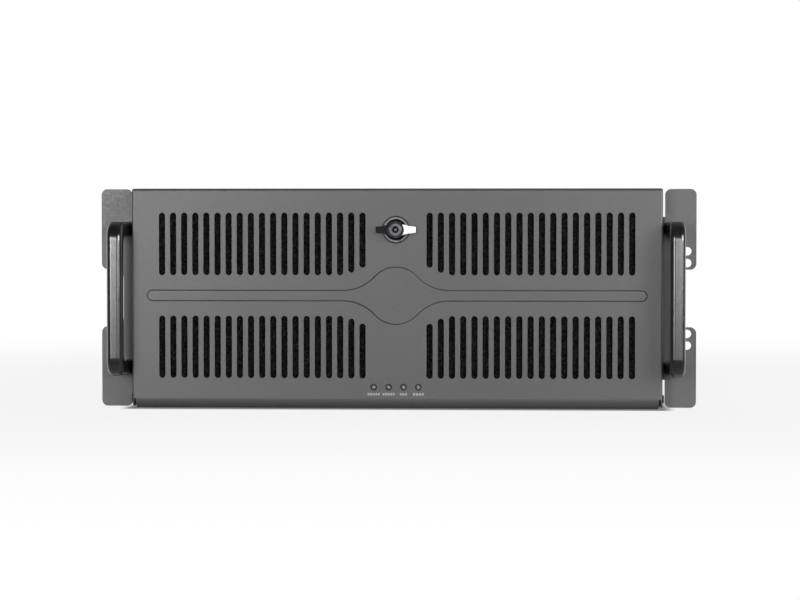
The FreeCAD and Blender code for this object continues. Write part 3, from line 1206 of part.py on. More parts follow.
def make_fan(name, x, z, size, offset, hub_r, y0, flow):
    """Square fan with its motor base at the far side from the panel."""
    y1 = y0 + FAN_T
    bore = size / 2 - FAN_WALL
    h = size / 2
    frame = rounded_prism(rectangle(x - h, x + h, z - h, z + h, FAN_CORNER), "Y", y0, FAN_T)
    waist = rounded_prism(rectangle(x - h - 1, x + h + 1, z - h - 1, z + h + 1, TINY), "Y",
                          y0 + FAN_FLANGE, FAN_T - 2 * FAN_FLANGE)
    waist = waist.cut(rod_y(h - TINY, x, z, y0, y1))
    frame = cut(frame, [rod_y(bore, x, z, y0 - 1, y1 + 1), waist])
    base_y = (y1 - FAN_BASE_T, y1) if flow > 0 else (y0, y0 + FAN_BASE_T)
    spokes = []
    for i in range(FAN_STRUTS):
        arm = box(x, x + bore + FAN_WALL / 2, *base_y, z - FAN_STRUT / 2, z + FAN_STRUT / 2)
        spokes.append(arm.rotated(vec(x, 0, z), vec(0, 1, 0), 45 + 360 * i / FAN_STRUTS))
    boss_y = (base_y[0] - FAN_BOSS_L, base_y[0]) if flow > 0 else (base_y[1], base_y[1] + FAN_BOSS_L)
    boss = rod_y(FAN_BOSS_R, x, z, *boss_y)
    disc = rod_y(hub_r, x, z, *base_y)
    frame = fused([frame, disc, boss] + spokes)
    holes = [rod_y(FAN_SHAFT_R + FAN_FIT, x, z, boss_y[0] - 1, boss_y[1] + FAN_BASE_T / 2)
             if flow > 0 else rod_y(FAN_SHAFT_R + FAN_FIT, x, z, boss_y[0] - FAN_BASE_T / 2, boss_y[1] + 1)]
    for sx in (-1, 1):
        for sz in (-1, 1):
            holes.append(rod_y(FAN_SCREW_R, x + sx * offset, z + sz * offset, y0 - 1, y1 + 1))
    nodes[name + "_frame"] = cut(frame, holes)
    # rotor: cup over the boss, shaft into it, blades outside
    if flow > 0:
        cup = (y0 + FAN_CUP_GAP, base_y[0] - FAN_CUP_GAP)
        hollow = (cup[0] + FAN_CUP_WALL, cup[1] + 1)
        shaft = (cup[0] + FAN_CUP_WALL, base_y[0])
    else:
        cup = (base_y[1] + FAN_CUP_GAP, y1 - FAN_CUP_GAP)
        hollow = (cup[0] - 1, cup[1] - FAN_CUP_WALL)
        shaft = (base_y[1], cup[1] - FAN_CUP_WALL)
    tip_r = bore - FAN_TIP_GAP
    mid = (cup[0] + cup[1]) / 2
    depth = cup[1] - cup[0] - FAN_CUP_WALL
    blades = [fan_blade(x, z, hub_r, tip_r, mid, depth, 360.0 * i / FAN_BLADES) for i in range(FAN_BLADES)]
    rotor = fused([rod_y(hub_r, x, z, *cup)] + blades)
    rotor = rotor.cut(rod_y(hub_r - FAN_CUP_WALL, x, z, *hollow))
    rotor = rotor.common(rod_y(tip_r, x, z, y0, y1))
    nodes[name + "_rotor"] = rotor.fuse(rod_y(FAN_SHAFT_R, x, z, *shaft)).removeSplitter()


def fan_screws(x, z, offset, panel_out, direction):
    return [pan_screw(FAN_SCREW_HEAD_R, FAN_SCREW_HEAD_H, FAN_SCREW_R, FAN_SCREW_L,
                      vec(x + sx * offset, panel_out, z + sz * offset), vec(0, direction, 0))
            for sx in (-1, 1) for sz in (-1, 1)]


def make_fans():
    x, z, size, offset, hub_r = front_fan()
    make_fan("front_fan", x, z, size, offset, hub_r, Y_PANEL + SHEET, 1)
    screws = fan_screws(x, z, offset, Y_PANEL, 1)
    for name, (x, z, size, offset, hub_r) in zip(("rear_fan_left", "rear_fan_right"), rear_fans()):
        make_fan(name, x, z, size, offset, hub_r, Y_REAR - SHEET - FAN_T, -1)
        screws += fan_screws(x, z, offset, Y_REAR, -1)
    nodes["fan_screws"] = group(screws)


# ---- rear panel ------------------------------------------------------------------------
def card_x(i):
    return CARD_X + i * CARD_PITCH


def card_top():
    return CARD_Z + CARD_H - CARD_SHELF_DROP


def make_rear_panel():
    y = Y_REAR
    pan = make_pan(y, REAR_FLANGE, False)
    shelf_x0 = card_x(0) - CARD_PITCH / 2
    shelf_x1 = card_x(CARD_SLOTS - 1) + CARD_PITCH / 2
    top = card_top()
    shelf = box(shelf_x0, shelf_x1, y - SHEET - CARD_SHELF, y - SHEET + TINY, top - SHEET, top)
    tools = []
    for i in range(CARD_SLOTS):
        x = card_x(i)
        tools.append(box(x - CARD_W / 2, x + CARD_W / 2, y - SHEET - 1, y + 1, CARD_Z, CARD_Z + CARD_H))
        tools.append(rod_z(CARD_SCREW_R, x, y - SHEET - CARD_SHELF / 2, top - SHEET - 1, top + 1))
    tools.append(box(IO_X, IO_X + IO_W, y - SHEET - 1, y + 1, IO_Z, IO_Z + IO_H))
    window = rectangle(PSU_X + PSU_RIM, PSU_X + PSU_W - PSU_RIM,
                       PSU_Z + PSU_RIM * 2, PSU_Z + PSU_H - PSU_RIM * 2, PSU_RIM)
    tools.append(rounded_prism(window, "Y", y - SHEET - 1, SHEET + 2))
    for dx, dz in PSU_SCREWS:
        tools.append(rod_y(PSU_SCREW_R, PSU_X + dx, PSU_Z + dz, y - SHEET - 1, y + 1))
    for x, z, size, offset, _ in rear_fans():
        tools += grille_cuts(x, z, size, y - SHEET) + fan_holes(x, z, offset, y - SHEET)
    for x, z in thumb_places():
        tools.append(rod_y(THUMB_SHANK_R + THUMB_HOLE_GAP, x, z, y - SHEET - 1, y + 1))
    nodes["rear_panel"] = cut(fused([pan, shelf]), tools + rivet_shanks())


def make_slot_covers():
    top = card_top() + CARD_COVER_T
    inside = Y_REAR - SHEET
    half = CARD_W / 2 - CARD_COVER_GAP
    screw_y = inside - CARD_SHELF / 2
    screws = []
    for i in range(CARD_SLOTS):
        x = card_x(i)
        path = [(inside + CARD_COVER_T, CARD_Z + CARD_COVER_GAP), (inside + CARD_COVER_T, top),
                (inside - CARD_COVER_LIP, top)]
        cover = folded(path, "X", x - half, 2 * half, CARD_COVER_T, CARD_COVER_BEND)
        hole = rod_z(CARD_SCREW_R, x, screw_y, card_top() - 1, top + 1)
        nodes["slot_cover_%d" % (i + 1)] = cover.cut(hole)
        screws.append(pan_screw(CARD_SCREW_HEAD_R, CARD_SCREW_HEAD_H, CARD_SCREW_R, CARD_SCREW_L,
                                vec(x, screw_y, top), vec(0, 0, -1)))
    nodes["slot_cover_screws"] = group(screws)


# ---- brace bar across the inside -------------------------------------------------------
def make_brace_bar():
    y0 = Y_EAR + BAR_Y - BAR_W / 2
    channel = folded([(y0, BAR_Z + BAR_H), (y0, BAR_Z), (y0 + BAR_W, BAR_Z), (y0 + BAR_W, BAR_Z + BAR_H)],
                     "X", SHEET - INNER_W, 2 * (INNER_W - SHEET))
    feet, holes = [], []
    for side in (-1, 1):
        x0, x1 = sorted((side * (INNER_W - SHEET), side * INNER_W))
        feet.append(box(x0, x1, y0 + BEND + SHEET, y0 + BAR_W - BEND - SHEET,
                        BAR_Z - BAR_FOOT, BAR_Z + SHEET))
    for side, y, z in bar_screw_places():
        x0, x1 = sorted((side * (INNER_W - SHEET - 1), side * (INNER_W + 1)))
        holes.append(rod_x(BAR_SCREW_R, y, z, x0, x1))
    nodes["brace_bar"] = cut(fused([channel] + feet), holes)
    shank = 2 * SHEET
    nodes["brace_screws"] = group(
        pan_screw(BAR_SCREW_HEAD_R, BAR_SCREW_HEAD_H, BAR_SCREW_R, shank,
                  vec(side * HALF_W, y, z), vec(-side, 0, 0))
        for side, y, z in bar_screw_places())


def main():
    make_base_tray()
    make_rivets()
    make_cage_screws()
    make_cover()
    make_ears_and_handles()
    make_door_panel()
    make_hinge_pins()
    make_light_pipes()
    make_filters()
    make_lock()
    make_front_panel()
    make_bay_covers()
    make_cages()
    make_controls()
    make_fans()
    make_rear_panel()
    make_slot_covers()
    make_brace_bar()
    os.makedirs("parts", exist_ok=True)
    for name, shape in nodes.items():
        shape.exportStep("parts/%s.step" % name)
        print(name, len(shape.Solids), shape.isValid(), round(shape.Volume / 1000, 2))


main()
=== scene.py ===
import json
import math

import bmesh
import bpy
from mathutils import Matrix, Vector, noise


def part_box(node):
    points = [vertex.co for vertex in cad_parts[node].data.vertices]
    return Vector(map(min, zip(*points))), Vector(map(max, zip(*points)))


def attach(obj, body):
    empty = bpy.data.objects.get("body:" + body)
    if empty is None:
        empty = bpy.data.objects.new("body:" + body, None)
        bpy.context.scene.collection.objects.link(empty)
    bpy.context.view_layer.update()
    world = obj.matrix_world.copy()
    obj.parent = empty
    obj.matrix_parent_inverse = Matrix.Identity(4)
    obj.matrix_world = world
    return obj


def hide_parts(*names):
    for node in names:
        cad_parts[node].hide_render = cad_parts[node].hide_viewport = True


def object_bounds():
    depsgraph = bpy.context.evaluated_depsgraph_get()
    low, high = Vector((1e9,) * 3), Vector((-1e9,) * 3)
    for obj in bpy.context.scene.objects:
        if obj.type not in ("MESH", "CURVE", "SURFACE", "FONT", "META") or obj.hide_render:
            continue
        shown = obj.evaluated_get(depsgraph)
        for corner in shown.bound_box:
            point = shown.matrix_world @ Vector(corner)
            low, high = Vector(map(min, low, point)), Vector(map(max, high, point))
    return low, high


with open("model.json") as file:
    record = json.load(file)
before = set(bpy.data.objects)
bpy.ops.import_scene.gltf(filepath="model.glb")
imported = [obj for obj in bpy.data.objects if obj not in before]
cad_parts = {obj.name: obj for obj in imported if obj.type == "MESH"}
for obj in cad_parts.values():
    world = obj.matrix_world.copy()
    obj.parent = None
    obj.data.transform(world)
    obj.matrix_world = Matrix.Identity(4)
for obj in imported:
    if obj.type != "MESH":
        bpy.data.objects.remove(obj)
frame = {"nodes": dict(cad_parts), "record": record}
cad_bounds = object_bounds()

# Finish, filters, printed marks, light and camera for the 4U rackmount case. Metres.

MM = 0.001
NODES = frame["nodes"]
SLOT_OF = {part["node"]: part["material_slot"] for part in frame["record"]["subparts"]}


def corners(node):
    low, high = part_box(node)
    return Vector(low), Vector(high)


def placed(name, data):
    """A new object in the scene."""
    obj = bpy.data.objects.new(name, data)
    bpy.context.scene.collection.objects.link(obj)
    return obj


# ---- shader nodes ----------------------------------------------------------------------
FULL_RANGE = (0.0, 1.0)
NOISE_RANGE = (0.3, 0.7)        # holds most of a noise texture's values
EDGE_RANGE = (0.97, 0.80)       # true against rounded normal, from nearly flat to sharp
EDGE_SAMPLES = 6
MIX_FACTOR, MIX_FIRST, MIX_SECOND, MIX_RESULT = 0, 6, 7, 2  # the Mix node's colour sockets


def combined(tree, operation, first, second):
    step = tree.nodes.new("ShaderNodeMath")
    step.operation = operation
    tree.links.new(first, step.inputs[0])
    tree.links.new(second, step.inputs[1])
    return step.outputs[0]


def ranged(tree, value, source, target, kind="LINEAR"):
    """The value taken from one range to another and held within it."""
    span = tree.nodes.new("ShaderNodeMapRange")
    span.interpolation_type = kind
    for socket, number in zip(("From Min", "From Max", "To Min", "To Max"), source + target):
        span.inputs[socket].default_value = number
    tree.links.new(value, span.inputs["Value"])
    return span.outputs["Result"]


def axis(tree, vector, name):
    split = tree.nodes.new("ShaderNodeSeparateXYZ")
    tree.links.new(vector, split.inputs["Vector"])
    return split.outputs[name]


def ray(tree, kind):
    return tree.nodes.new("ShaderNodeLightPath").outputs[f"Is {kind} Ray"]


def seen_directly(tree):
    """1 on rays that show a background: camera, glossy and transmission rays."""
    mirrored = combined(tree, "MAXIMUM", ray(tree, "Glossy"), ray(tree, "Transmission"))
    return combined(tree, "MAXIMUM", ray(tree, "Camera"), mirrored)


class Shader:
    """A material with its Principled shader and short calls for the nodes around it."""

    def __init__(self, name, color, roughness, metallic=0.0, **sockets):
        self.mat = bpy.data.materials.new(name)
        self.mat.use_nodes = True
        self.tree = self.mat.node_tree
        self.bsdf = self.tree.nodes["Principled BSDF"]
        self.coords = self.tree.nodes.new("ShaderNodeTexCoord").outputs["Object"]
        self.color = tuple(color) + (1.0,)
        self.normal = None
        sockets.update(Base_Color=self.color, Roughness=roughness, Metallic=metallic)
        for socket, value in sockets.items():
            self.bsdf.inputs[socket.replace("_", " ")].default_value = value

    def link(self, a, b):
        self.tree.links.new(a, b)

    def put(self, value, socket):
        """Links a node's output to the socket, or sets the socket to a plain value."""
        if isinstance(value, bpy.types.NodeSocket):
            self.link(value, socket)
        else:
            socket.default_value = value

    def node(self, kind, **inputs):
        made = self.tree.nodes.new("ShaderNode" + kind)
        for name, value in inputs.items():
            made.inputs[name.replace("_", " ")].default_value = value
        return made

    def noise(self, size, detail=2.0, rough=0.5):
        made = self.node("TexNoise", Scale=1.0 / size, Detail=detail, Roughness=rough)
        self.link(self.coords, made.inputs["Vector"])
        return made.outputs["Fac"]

    def cells(self, size, output="Color"):
        made = self.node("TexVoronoi", Scale=1.0 / size)
        self.link(self.coords, made.inputs["Vector"])
        return made.outputs[output]

    def mix(self, factor, first, second, mode="MIX"):
        made = self.node("Mix")
        made.data_type = "RGBA"
        made.blend_type = mode
        self.put(factor, made.inputs[MIX_FACTOR])
        self.put(first, made.inputs[MIX_FIRST])
        self.put(second, made.inputs[MIX_SECOND])
        return made.outputs[MIX_RESULT]

    def paint(self, factor, tint):
        self.color = self.mix(factor, self.color, tuple(tint) + (1.0,))

    def vary(self, value, start, end, source=NOISE_RANGE):
        """Multiplies the colour by a factor that goes from start to end over the source range."""
        factor = ranged(self.tree, value, source, (start, end))
        combine = self.node("CombineColor")
        for socket in ("Red", "Green", "Blue"):
            self.link(factor, combine.inputs[socket])
        self.color = self.mix(1.0, self.color, combine.outputs["Color"], "MULTIPLY")

    def edge_wear_and_highlight(self, radius, tint, amount):
        """A lighter tint where the surface turns sharply: partly wear, partly a painted edge
        highlight.
        """
        bevel = self.node("Bevel", Radius=radius)
        bevel.samples = EDGE_SAMPLES
        dot = self.node("VectorMath")
        dot.operation = "DOT_PRODUCT"
        self.link(bevel.outputs["Normal"], dot.inputs[0])
        self.link(self.node("NewGeometry").outputs["Normal"], dot.inputs[1])
        edge = ranged(self.tree, dot.outputs["Value"], EDGE_RANGE, (0.0, amount))
        self.paint(edge, tint)

    def rough(self, value, start, end, source=NOISE_RANGE):
        """Roughness that goes from start to end over the source range."""
        self.link(ranged(self.tree, value, source, (start, end)), self.bsdf.inputs["Roughness"])

    def bump(self, value, depth, strength=1.0):
        made = self.node("Bump", Strength=strength, Distance=depth)
        self.link(value, made.inputs["Height"])
        if self.normal:
            self.link(self.normal, made.inputs["Normal"])
        self.normal = made.outputs["Normal"]

    def done(self):
        self.put(self.color, self.bsdf.inputs["Base Color"])
        if self.normal:
            self.link(self.normal, self.bsdf.inputs["Normal"])
        return self.mat


# ---- materials -------------------------------------------------------------------------
def powder_coat(name, color, roughness, specular):
    """Fine-textured powder coat: dense small grains, edges lighter from slight rubbing and a
    painted highlight.
    """
    s = Shader(name, color, roughness, Specular_IOR_Level=specular)
    grain = s.noise(1.3 * MM, detail=3.0, rough=0.6)
    s.vary(grain, 0.90, 1.10)
    s.vary(s.noise(60 * MM), 0.97, 1.03)
    s.rough(s.noise(2.5 * MM), roughness - 0.05, roughness + 0.05)
    # lighter edges: slight rubbing plus a painted edge highlight
    s.edge_wear_and_highlight(0.8 * MM, tint=[c * 1.6 for c in color], amount=0.35)
    s.bump(grain, depth=0.10 * MM, strength=0.5)
    return s.done()


# edge tint: partly wear, partly a painted highlight
ENAMEL_EDGE_WEAR_AND_HIGHLIGHT = (0.10, 0.10, 0.105)


def satin_enamel(name, color, roughness):
    """Smooth enamel with a faint orange peel under a clear gloss."""
    s = Shader(name, color, roughness, Specular_IOR_Level=1.0, Coat_Weight=0.7,
               Coat_Roughness=0.2)
    orange_peel = s.noise(3.0 * MM, detail=1.0)
    s.bump(orange_peel, depth=0.05 * MM, strength=0.25)
    s.rough(s.noise(12 * MM, detail=3.0), roughness - 0.04, roughness + 0.06)
    s.vary(s.noise(25 * MM), 0.9, 1.1)
    # lighter edges: wear plus a painted edge highlight
    s.edge_wear_and_highlight(0.8 * MM, tint=ENAMEL_EDGE_WEAR_AND_HIGHLIGHT, amount=0.3)
    return s.done()


ZINC_METALLIC = 0.75            # the rest scatters, as dull zinc does
# edge tint: partly wear, partly a painted highlight
ZINC_EDGE_WEAR_AND_HIGHLIGHT = (0.75, 0.76, 0.78)
PAINT_BLACK = (0.02, 0.02, 0.02)
PAINT_FADE = 0.2 * MM           # the paint ends over this depth


def galvanised(name, color, painted_to=None):
    """Zinc-coated sheet with flat crystal spangles, painted black up to a plane of y."""
    s = Shader(name, color, 0.42, ZINC_METALLIC)
    spangle = s.cells(9 * MM)
    s.vary(spangle, 0.86, 1.06, source=FULL_RANGE)
    s.rough(spangle, 0.34, 0.52, source=FULL_RANGE)
    s.vary(s.noise(50 * MM, detail=3.0), 0.93, 1.04)
    s.bump(s.noise(0.8 * MM), depth=0.02 * MM, strength=0.4)
    # lighter edges: wear plus a painted edge highlight
    s.edge_wear_and_highlight(0.5 * MM, tint=ZINC_EDGE_WEAR_AND_HIGHLIGHT, amount=0.4)
    if painted_to is not None:
        y = axis(s.tree, s.coords, "Y")
        painted = ranged(s.tree, y, (painted_to, painted_to + PAINT_FADE), (1.0, 0.0))
        s.paint(painted, PAINT_BLACK)
        s.link(ranged(s.tree, painted, FULL_RANGE, (ZINC_METALLIC, 0.0)),
               s.bsdf.inputs["Metallic"])
    return s.done()


POLISHED = 0.03                 # ripple left in polished plating
# painted shade for the recesses of plated parts
PAINTED_SHADE_BLACK = (0.012, 0.012, 0.012)
PAINTED_SHADE_FADE = 0.3 * MM          # painted shade darkens the plating over this depth


def plated(name, color, roughness, shade_plane=None, ripple=0.3):
    """Plated metal, with painted shade in black behind the plane y = shade_plane, where light
    doesn't reach.
    """
    s = Shader(name, color, roughness, metallic=1.0)
    s.rough(s.noise(4 * MM, detail=3.0), roughness * 0.8, roughness * 1.3)
    s.vary(s.noise(8 * MM), 0.94, 1.04)
    if shade_plane is not None:
        # painted shade: the plating turns black behind the plane, where the recess lies in shadow
        y = axis(s.tree, s.coords, "Y")
        painted_shade = ranged(s.tree, y, (shade_plane, shade_plane + PAINTED_SHADE_FADE), FULL_RANGE)
        s.paint(painted_shade, PAINTED_SHADE_BLACK)
    s.bump(s.noise(1.0 * MM), depth=0.01 * MM, strength=ripple)
    return s.done()


def moulded(name, color, roughness):
    """Spark-textured moulded plastic."""
    s = Shader(name, color, roughness)
    texture = s.noise(0.7 * MM)
    s.bump(texture, depth=0.04 * MM, strength=0.5)
    s.rough(texture, roughness - 0.06, roughness + 0.06)
    s.vary(s.noise(30 * MM), 0.92, 1.08)
    # lighter edges: wear plus a painted edge highlight
    s.edge_wear_and_highlight(0.5 * MM, tint=[c * 2.0 + 0.02 for c in color], amount=0.3)
    return s.done()


ACRYLIC_IOR = 1.49


def clear_lens(name, color):
    """Acrylic lamp lens, part clear and part milky."""
    s = Shader(name, color, 0.22, Transmission_Weight=0.35, IOR=ACRYLIC_IOR)
    s.vary(s.noise(1.5 * MM), 0.95, 1.03)
    s.rough(s.noise(1.0 * MM), 0.18, 0.28)
    return s.done()


TRACK_LENGTH = 18 * MM
TRACK_PITCH = 3.5 * MM
TRACK_GAP = 0.6 * MM
TRACK_GREEN = (0.10, 0.32, 0.14)
TRACK_SHOW = 0.7                # share of that green over the tracks


def circuit_board(name, color):
    """Solder mask over fine copper tracks."""
    s = Shader(name, color, 0.35, Coat_Weight=0.3)
    tracks = s.node("TexBrick", Scale=1.0, Mortar_Size=TRACK_GAP, Brick_Width=TRACK_LENGTH,
                    Row_Height=TRACK_PITCH)
    s.link(s.coords, tracks.inputs["Vector"])
    s.paint(ranged(s.tree, tracks.outputs["Fac"], FULL_RANGE, (0.0, TRACK_SHOW)), TRACK_GREEN)
    s.vary(s.noise(10 * MM), 0.9, 1.1)
    s.bump(tracks.outputs["Fac"], depth=0.03 * MM, strength=0.6)
    return s.done()


PORE_RANGE = (0.1, 0.7)         # from a pore's middle to its rim


def open_cell_foam(name, color):
    """Reticulated foam, mottled and pitted at the size of its pores."""
    s = Shader(name, color, 0.9, Specular_IOR_Level=0.1)
    pores = s.cells(1.6 * MM, "Distance")
    s.vary(pores, 2.4, 0.25, source=PORE_RANGE)
    s.vary(s.noise(3.0 * MM, detail=3.0), 0.6, 1.5)
    s.bump(pores, depth=0.9 * MM)
    s.rough(s.noise(2.0 * MM), 0.75, 1.0)
    return s.done()


def printed_ink(name, color):
    """Screen-printed ink, a little uneven."""
    s = Shader(name, color, 0.6)
    s.vary(s.noise(0.5 * MM), 0.85, 1.05)
    s.bump(s.noise(0.6 * MM), depth=0.02 * MM, strength=0.4)
    return s.done()


DOOR_GREY = (0.076, 0.076, 0.079)
ZINC = (0.56, 0.57, 0.59)
FINISHES = {
    "black_powder_coat": powder_coat("black_powder_coat", DOOR_GREY, 0.38, specular=0.9),
    "black_satin_enamel": satin_enamel("black_satin_enamel", (0.012, 0.012, 0.013), 0.20),
    "zinc_steel": galvanised("zinc_steel", ZINC),
    "screw_steel": plated("screw_steel", (0.58, 0.58, 0.60), 0.3),
    "chrome_plate": plated("chrome_plate", (0.24, 0.24, 0.25), 0.14, ripple=POLISHED),
    "black_plastic": moulded("black_plastic", (0.022, 0.022, 0.023), 0.5),
    "clear_plastic": clear_lens("clear_plastic", (0.82, 0.83, 0.85)),
    "circuit_board": circuit_board("circuit_board", (0.02, 0.13, 0.05)),
    "brass_parts": plated("brass_parts", (0.72, 0.52, 0.22), 0.28),
    "filter_foam": open_cell_foam("filter_foam", (0.007, 0.007, 0.007)),
}
INK = printed_ink("label_ink", (0.42, 0.42, 0.43))


def front_of(node, depth=0.0):
    """The plane this deep behind a node's foremost point."""
    return corners(node)[0].y + depth


KEYWAY_DEPTH = 0.6 * MM         # painted shade darkens the plug's ring-shaped keyway from here on
DISH_DEPTH = 0.5 * MM           # and painted shade darkens the dish inside the lock's ring

# nodes whose finish isn't the plain one of their slot
OWN_FINISH = {
    "top_cover": powder_coat("textured_coat", DOOR_GREY, 0.66, specular=0.35),
    # the lock's plug and ring carry painted shade in their keyway and dish
    "lock_cylinder": plated("chrome_plug", (0.17, 0.17, 0.18), 0.30,
                            front_of("lock_cylinder", KEYWAY_DEPTH), POLISHED),
    "lock_housing": plated("chrome_ring", (0.20, 0.20, 0.21), 0.30,
                           front_of("lock_housing", DISH_DEPTH), POLISHED),
    "led_bezels": moulded("bezel_plastic", (0.006, 0.006, 0.006), 0.4),
    "light_pipes": clear_lens("lamp_lens", (0.42, 0.43, 0.45)),
    "hinge_pins": plated("black_oxide", (0.03, 0.03, 0.03), 0.4),
    "base_tray": galvanised("zinc_tray", ZINC, front_of("front_panel")),
}


def finish_cad_nodes():
    for name, obj in NODES.items():
        material = OWN_FINISH.get(name, FINISHES[SLOT_OF[name]])
        for slot in obj.material_slots:
            slot.material = material


# ---- pieces made here ------------------------------------------------------------------
def piece_from(name, mesh_maker, material, body):
    mesh = bpy.data.meshes.new(name)
    bm = bmesh.new()
    mesh_maker(bm)
    bmesh.ops.recalc_face_normals(bm, faces=bm.faces)
    bm.to_mesh(mesh)
    bm.free()
    mesh.materials.append(material)
    obj = placed(name, mesh)
    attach(obj, body)
    return obj


FOAM_CELL = 2.2 * MM            # grid of the foam's faces
FOAM_PORE = 0.9 * FOAM_CELL
FOAM_PIT = 1.1 * MM             # depth of the deepest pores
FOAM_WAVE = 4 * FOAM_CELL       # slower waves under the pores
FOAM_WAVE_DEPTH = 0.4 * FOAM_PIT


def foam_pit(x, z):
    """Depth of the foam's surface inside its slab."""
    place = Vector((x, 0.0, z))
    pit = FOAM_PIT * noise.cell(place / FOAM_PORE)
    return pit + FOAM_WAVE_DEPTH * (1 + noise.noise(place / FOAM_WAVE))


def foam_slab(low, high):
    """Closed slab whose front and back are pitted like reticulated foam."""
    across = max(2, round((high.x - low.x) / FOAM_CELL))
    up = max(2, round((high.z - low.z) / FOAM_CELL))

    def point(i, k, back):
        x = low.x + (high.x - low.x) * i / across
        z = low.z + (high.z - low.z) * k / up
        edge = i in (0, across) or k in (0, up)
        pit = 0.0 if edge else foam_pit(x, z)
        return (x, high.y - pit if back else low.y + pit, z)

    def face_grid(bm, back):
        return [[bm.verts.new(point(i, k, back)) for k in range(up + 1)]
                for i in range(across + 1)]

    def make(bm):
        front, back = face_grid(bm, False), face_grid(bm, True)
        for rows in (front, back):
            for i in range(across):
                for k in range(up):
                    bm.faces.new((rows[i][k], rows[i + 1][k], rows[i + 1][k + 1], rows[i][k + 1]))
        contact_shade = [(i, 0) for i in range(across)] + [(across, k) for k in range(up)]
        contact_shade += [(i, up) for i in range(across, 0, -1)] + [(0, k) for k in range(up, 0, -1)]
        for (a, b), (c, d) in zip(contact_shade, contact_shade[1:] + contact_shade[:1]):
            bm.faces.new((front[a][b], front[c][d], back[c][d], back[a][b]))
    return make


def make_foam():
    for node in ("foam_filter_left", "foam_filter_right"):
        low, high = corners(node)
        foam = piece_from(node.replace("filter", "pad"), foam_slab(low, high),
                          FINISHES["filter_foam"], "door")
        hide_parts(node)


LABEL_WIDTHS = [width * MM for width in (9.7, 9.5, 5.6, 8.8)]  # from the left lamp on
LABEL_DROP = 5.7 * MM           # label middle below the lamp's middle
LABEL_H = 1.9 * MM
LABEL_T = 0.04 * MM
DASH_PITCH = 2.1 * MM           # about; a label holds a whole number of dashes
DASH_GAP = 0.55 * MM


def lamp_places():
    """X and Z of the lamps, evenly spaced over the light pipes' box."""
    low, high = corners("light_pipes")
    r = (high.z - low.z) / 2
    count = len(LABEL_WIDTHS)
    first, last = low.x + r, high.x - r
    return [(first + (last - first) * i / (count - 1), (low.z + high.z) / 2)
            for i in range(count)]


def label_dashes(bm):
    """Plain printed dashes below each lamp, in place of words."""
    door_face = front_of("led_bezels")      # the bezels end flush with the door
    for (x, z), width in zip(lamp_places(), LABEL_WIDTHS):
        count = max(2, round(width / DASH_PITCH))
        dash = (width - DASH_GAP * (count - 1)) / count
        bottom = z - LABEL_DROP - LABEL_H / 2
        for i in range(count):
            left = x - width / 2 + i * (dash + DASH_GAP)
            for v in bmesh.ops.create_cube(bm, size=1.0)["verts"]:
                v.co = Vector((left + (v.co.x + 0.5) * dash,
                               door_face + (v.co.y - 0.5) * LABEL_T,
                               bottom + (v.co.z + 0.5) * LABEL_H))


def make_labels():
    piece_from("lamp_marks", label_dashes, INK, "door")


# ---- floor and world -------------------------------------------------------------------
FLOOR_HALF = 12.0
FLOOR_COLOR = 0.40
FLOOR_ROUGHNESS = 0.9
FLOOR_GLOW = 0.88               # share of the floor that shows as plain white
FLOOR_FADE = 0.9                # all white this far from the case
CONTACT_SHADE_WIDTH = 0.012                 # painted contact shadow: darker rim of floor around the case
# glow left at the case's edge, where the painted contact shadow is darkest
CONTACT_SHADE_GLOW = 0.10
FRONT_RANGE = (-0.32, -0.05)    # the mirrored floor dims towards the studio's dark front
FRONT_GLOW = 0.10


def beside_case(s):
    """Distance of a floor point from the case's footprint."""
    low, high = corners("door_panel")
    point = s.coords
    steps = (("ABSOLUTE", None), ("SUBTRACT", (high.x, -low.y, 0.0)),
             ("MAXIMUM", (0.0, 0.0, 0.0)), ("LENGTH", None))
    for operation, other in steps:
        step = s.node("VectorMath")
        step.operation = operation
        s.link(point, step.inputs[0])
        if other:
            step.inputs[1].default_value = other
        point = step.outputs["Value" if operation == "LENGTH" else "Vector"]
    return point


def floor_white():
    """White where it is seen, with a share of lit surface that holds the shadow, and less glow in
    a painted contact-shadow rim around the case.
    """
    s = Shader("floor", (FLOOR_COLOR,) * 3, FLOOR_ROUGHNESS, Specular_IOR_Level=0.0)
    away = beside_case(s)
    # painted contact shadow: the glow falls off near the case, so the lit floor and its real
    # shadow show there
    contact_shade = ranged(s.tree, away, (0.0, CONTACT_SHADE_WIDTH), (CONTACT_SHADE_GLOW, FLOOR_GLOW), "SMOOTHSTEP")
    rest = ranged(s.tree, away, (CONTACT_SHADE_WIDTH, FLOOR_FADE), (0.0, 1.0 - FLOOR_GLOW), "SMOOTHSTEP")
    share = combined(s.tree, "ADD", contact_shade, rest)
    y = axis(s.tree, s.coords, "Y")
    studio = ranged(s.tree, y, FRONT_RANGE, (FRONT_GLOW, 1.0), "SMOOTHSTEP")
    glow = s.node("Emission")
    s.link(combined(s.tree, "MAXIMUM", studio, ray(s.tree, "Camera")), glow.inputs["Strength"])
    mix = s.node("MixShader")
    s.link(combined(s.tree, "MULTIPLY", seen_directly(s.tree), share), mix.inputs["Fac"])
    s.link(s.bsdf.outputs["BSDF"], mix.inputs[1])
    s.link(glow.outputs["Emission"], mix.inputs[2])
    s.link(mix.outputs["Shader"], s.tree.nodes["Material Output"].inputs["Surface"])
    return s.mat


def make_floor():
    mesh = bpy.data.meshes.new("floor")
    square = ((-1, -1), (1, -1), (1, 1), (-1, 1))
    mesh.from_pydata([(x * FLOOR_HALF, y * FLOOR_HALF, 0) for x, y in square], [],
                     [(0, 1, 2, 3)])
    mesh.materials.append(floor_white())
    floor = placed("floor", mesh)


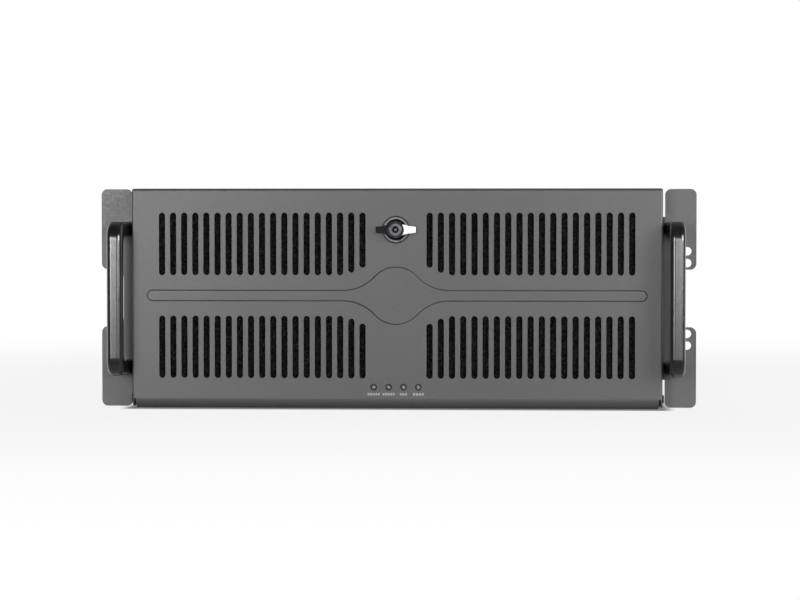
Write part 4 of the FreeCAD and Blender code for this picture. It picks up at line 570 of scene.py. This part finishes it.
WORLD_BACK = 1.0                # white backdrop behind the case
WORLD_FRONT = 0.08              # dark studio before it, which the smooth parts mirror
WORLD_TURN = (-0.1, 0.7)        # from front to back over these Y of a direction
WORLD_TOP = 0.18                # share left overhead
WORLD_RISE = (0.09, 0.4)        # it falls to that over these Z of a direction
WORLD_AMBIENT = 0.30            # share of it that lights matt surfaces


def make_world():
    """A plain white background for the camera, and a studio for light and mirrors."""
    world = bpy.data.worlds.new("studio")
    bpy.context.scene.world = world
    world.use_nodes = True
    tree = world.node_tree
    direction = tree.nodes.new("ShaderNodeTexCoord").outputs["Generated"]
    behind = ranged(tree, axis(tree, direction, "Y"), WORLD_TURN, (WORLD_FRONT, WORLD_BACK),
                    "SMOOTHSTEP")
    above = ranged(tree, axis(tree, direction, "Z"), WORLD_RISE, (1.0, WORLD_TOP), "SMOOTHSTEP")
    studio = combined(tree, "MULTIPLY", behind, above)
    share = ranged(tree, seen_directly(tree), FULL_RANGE, (WORLD_AMBIENT, 1.0))
    total = combined(tree, "MULTIPLY", studio, share)
    back = tree.nodes["Background"]
    back.inputs["Color"].default_value = (1, 1, 1, 1)
    tree.links.new(combined(tree, "MAXIMUM", total, ray(tree, "Camera")),
                   back.inputs["Strength"])


# ---- lamps and camera ------------------------------------------------------------------
def aimed(name, data, target, azimuth, elevation, distance):
    """A lamp or camera that looks at the target; azimuth 0 is in front, positive to +X."""
    az, el = math.radians(azimuth), math.radians(elevation)
    away = Vector((math.sin(az) * math.cos(el), -math.cos(az) * math.cos(el), math.sin(el)))
    obj = placed(name, data)
    obj.location = target + away * distance
    obj.rotation_euler = (-away).to_track_quat("-Z", "Y").to_euler()
    return obj


# name, azimuth and elevation in degrees, distance, width, height, watts, shows in mirrors
LIGHTS = [
    ("fill_left", -23, 6, 2.8, 0.9, 1.2, 34.0, True),
    ("fill_right", 16, 3, 2.8, 1.1, 0.9, 16.0, True),
    ("key_right", 48, 13.5, 2.6, 1.0, 1.1, 44.0, True),
    ("top_back", 180, 60, 2.4, 1.2, 1.2, 20.0, False),
]


def make_lights():
    """Softboxes aimed at the middle of the case's front."""
    low, high = (Vector(v) for v in cad_bounds)
    target = Vector(((low.x + high.x) / 2, low.y, (low.z + high.z) / 2))
    for name, azimuth, elevation, distance, width, height, watts, mirrored in LIGHTS:
        light = bpy.data.lights.new(name, "AREA")
        light.shape = "RECTANGLE"
        light.size = width
        light.size_y = height
        light.energy = watts
        lamp = aimed(name, light, target, azimuth, elevation, distance)
        lamp.visible_glossy = mirrored


CAMERA_AZIMUTH = 3.01           # degrees
CAMERA_ELEVATION = 1.81
CAMERA_DISTANCE = 2.08
CAMERA_LENS = 115.43            # its lens and sensor are in millimetres
CAMERA_SENSOR = 36.0
AIM_OFFSET = (2.157 * MM, 0.0, -1.585 * MM)  # from the middle of the ears' plane


def make_camera():
    ear_low, ear_high = corners("ear_right")
    aim = Vector((0.0, ear_low.y, (ear_low.z + ear_high.z) / 2)) + Vector(AIM_OFFSET)
    data = bpy.data.cameras.new("camera")
    data.lens = CAMERA_LENS
    data.sensor_width = CAMERA_SENSOR
    bpy.context.scene.camera = aimed("camera", data, aim, CAMERA_AZIMUTH, CAMERA_ELEVATION,
                                     CAMERA_DISTANCE)


finish_cad_nodes()
make_foam()
make_labels()
make_floor()
make_world()
make_lights()
make_camera()
bpy.context.scene.view_settings.view_transform = "Standard"
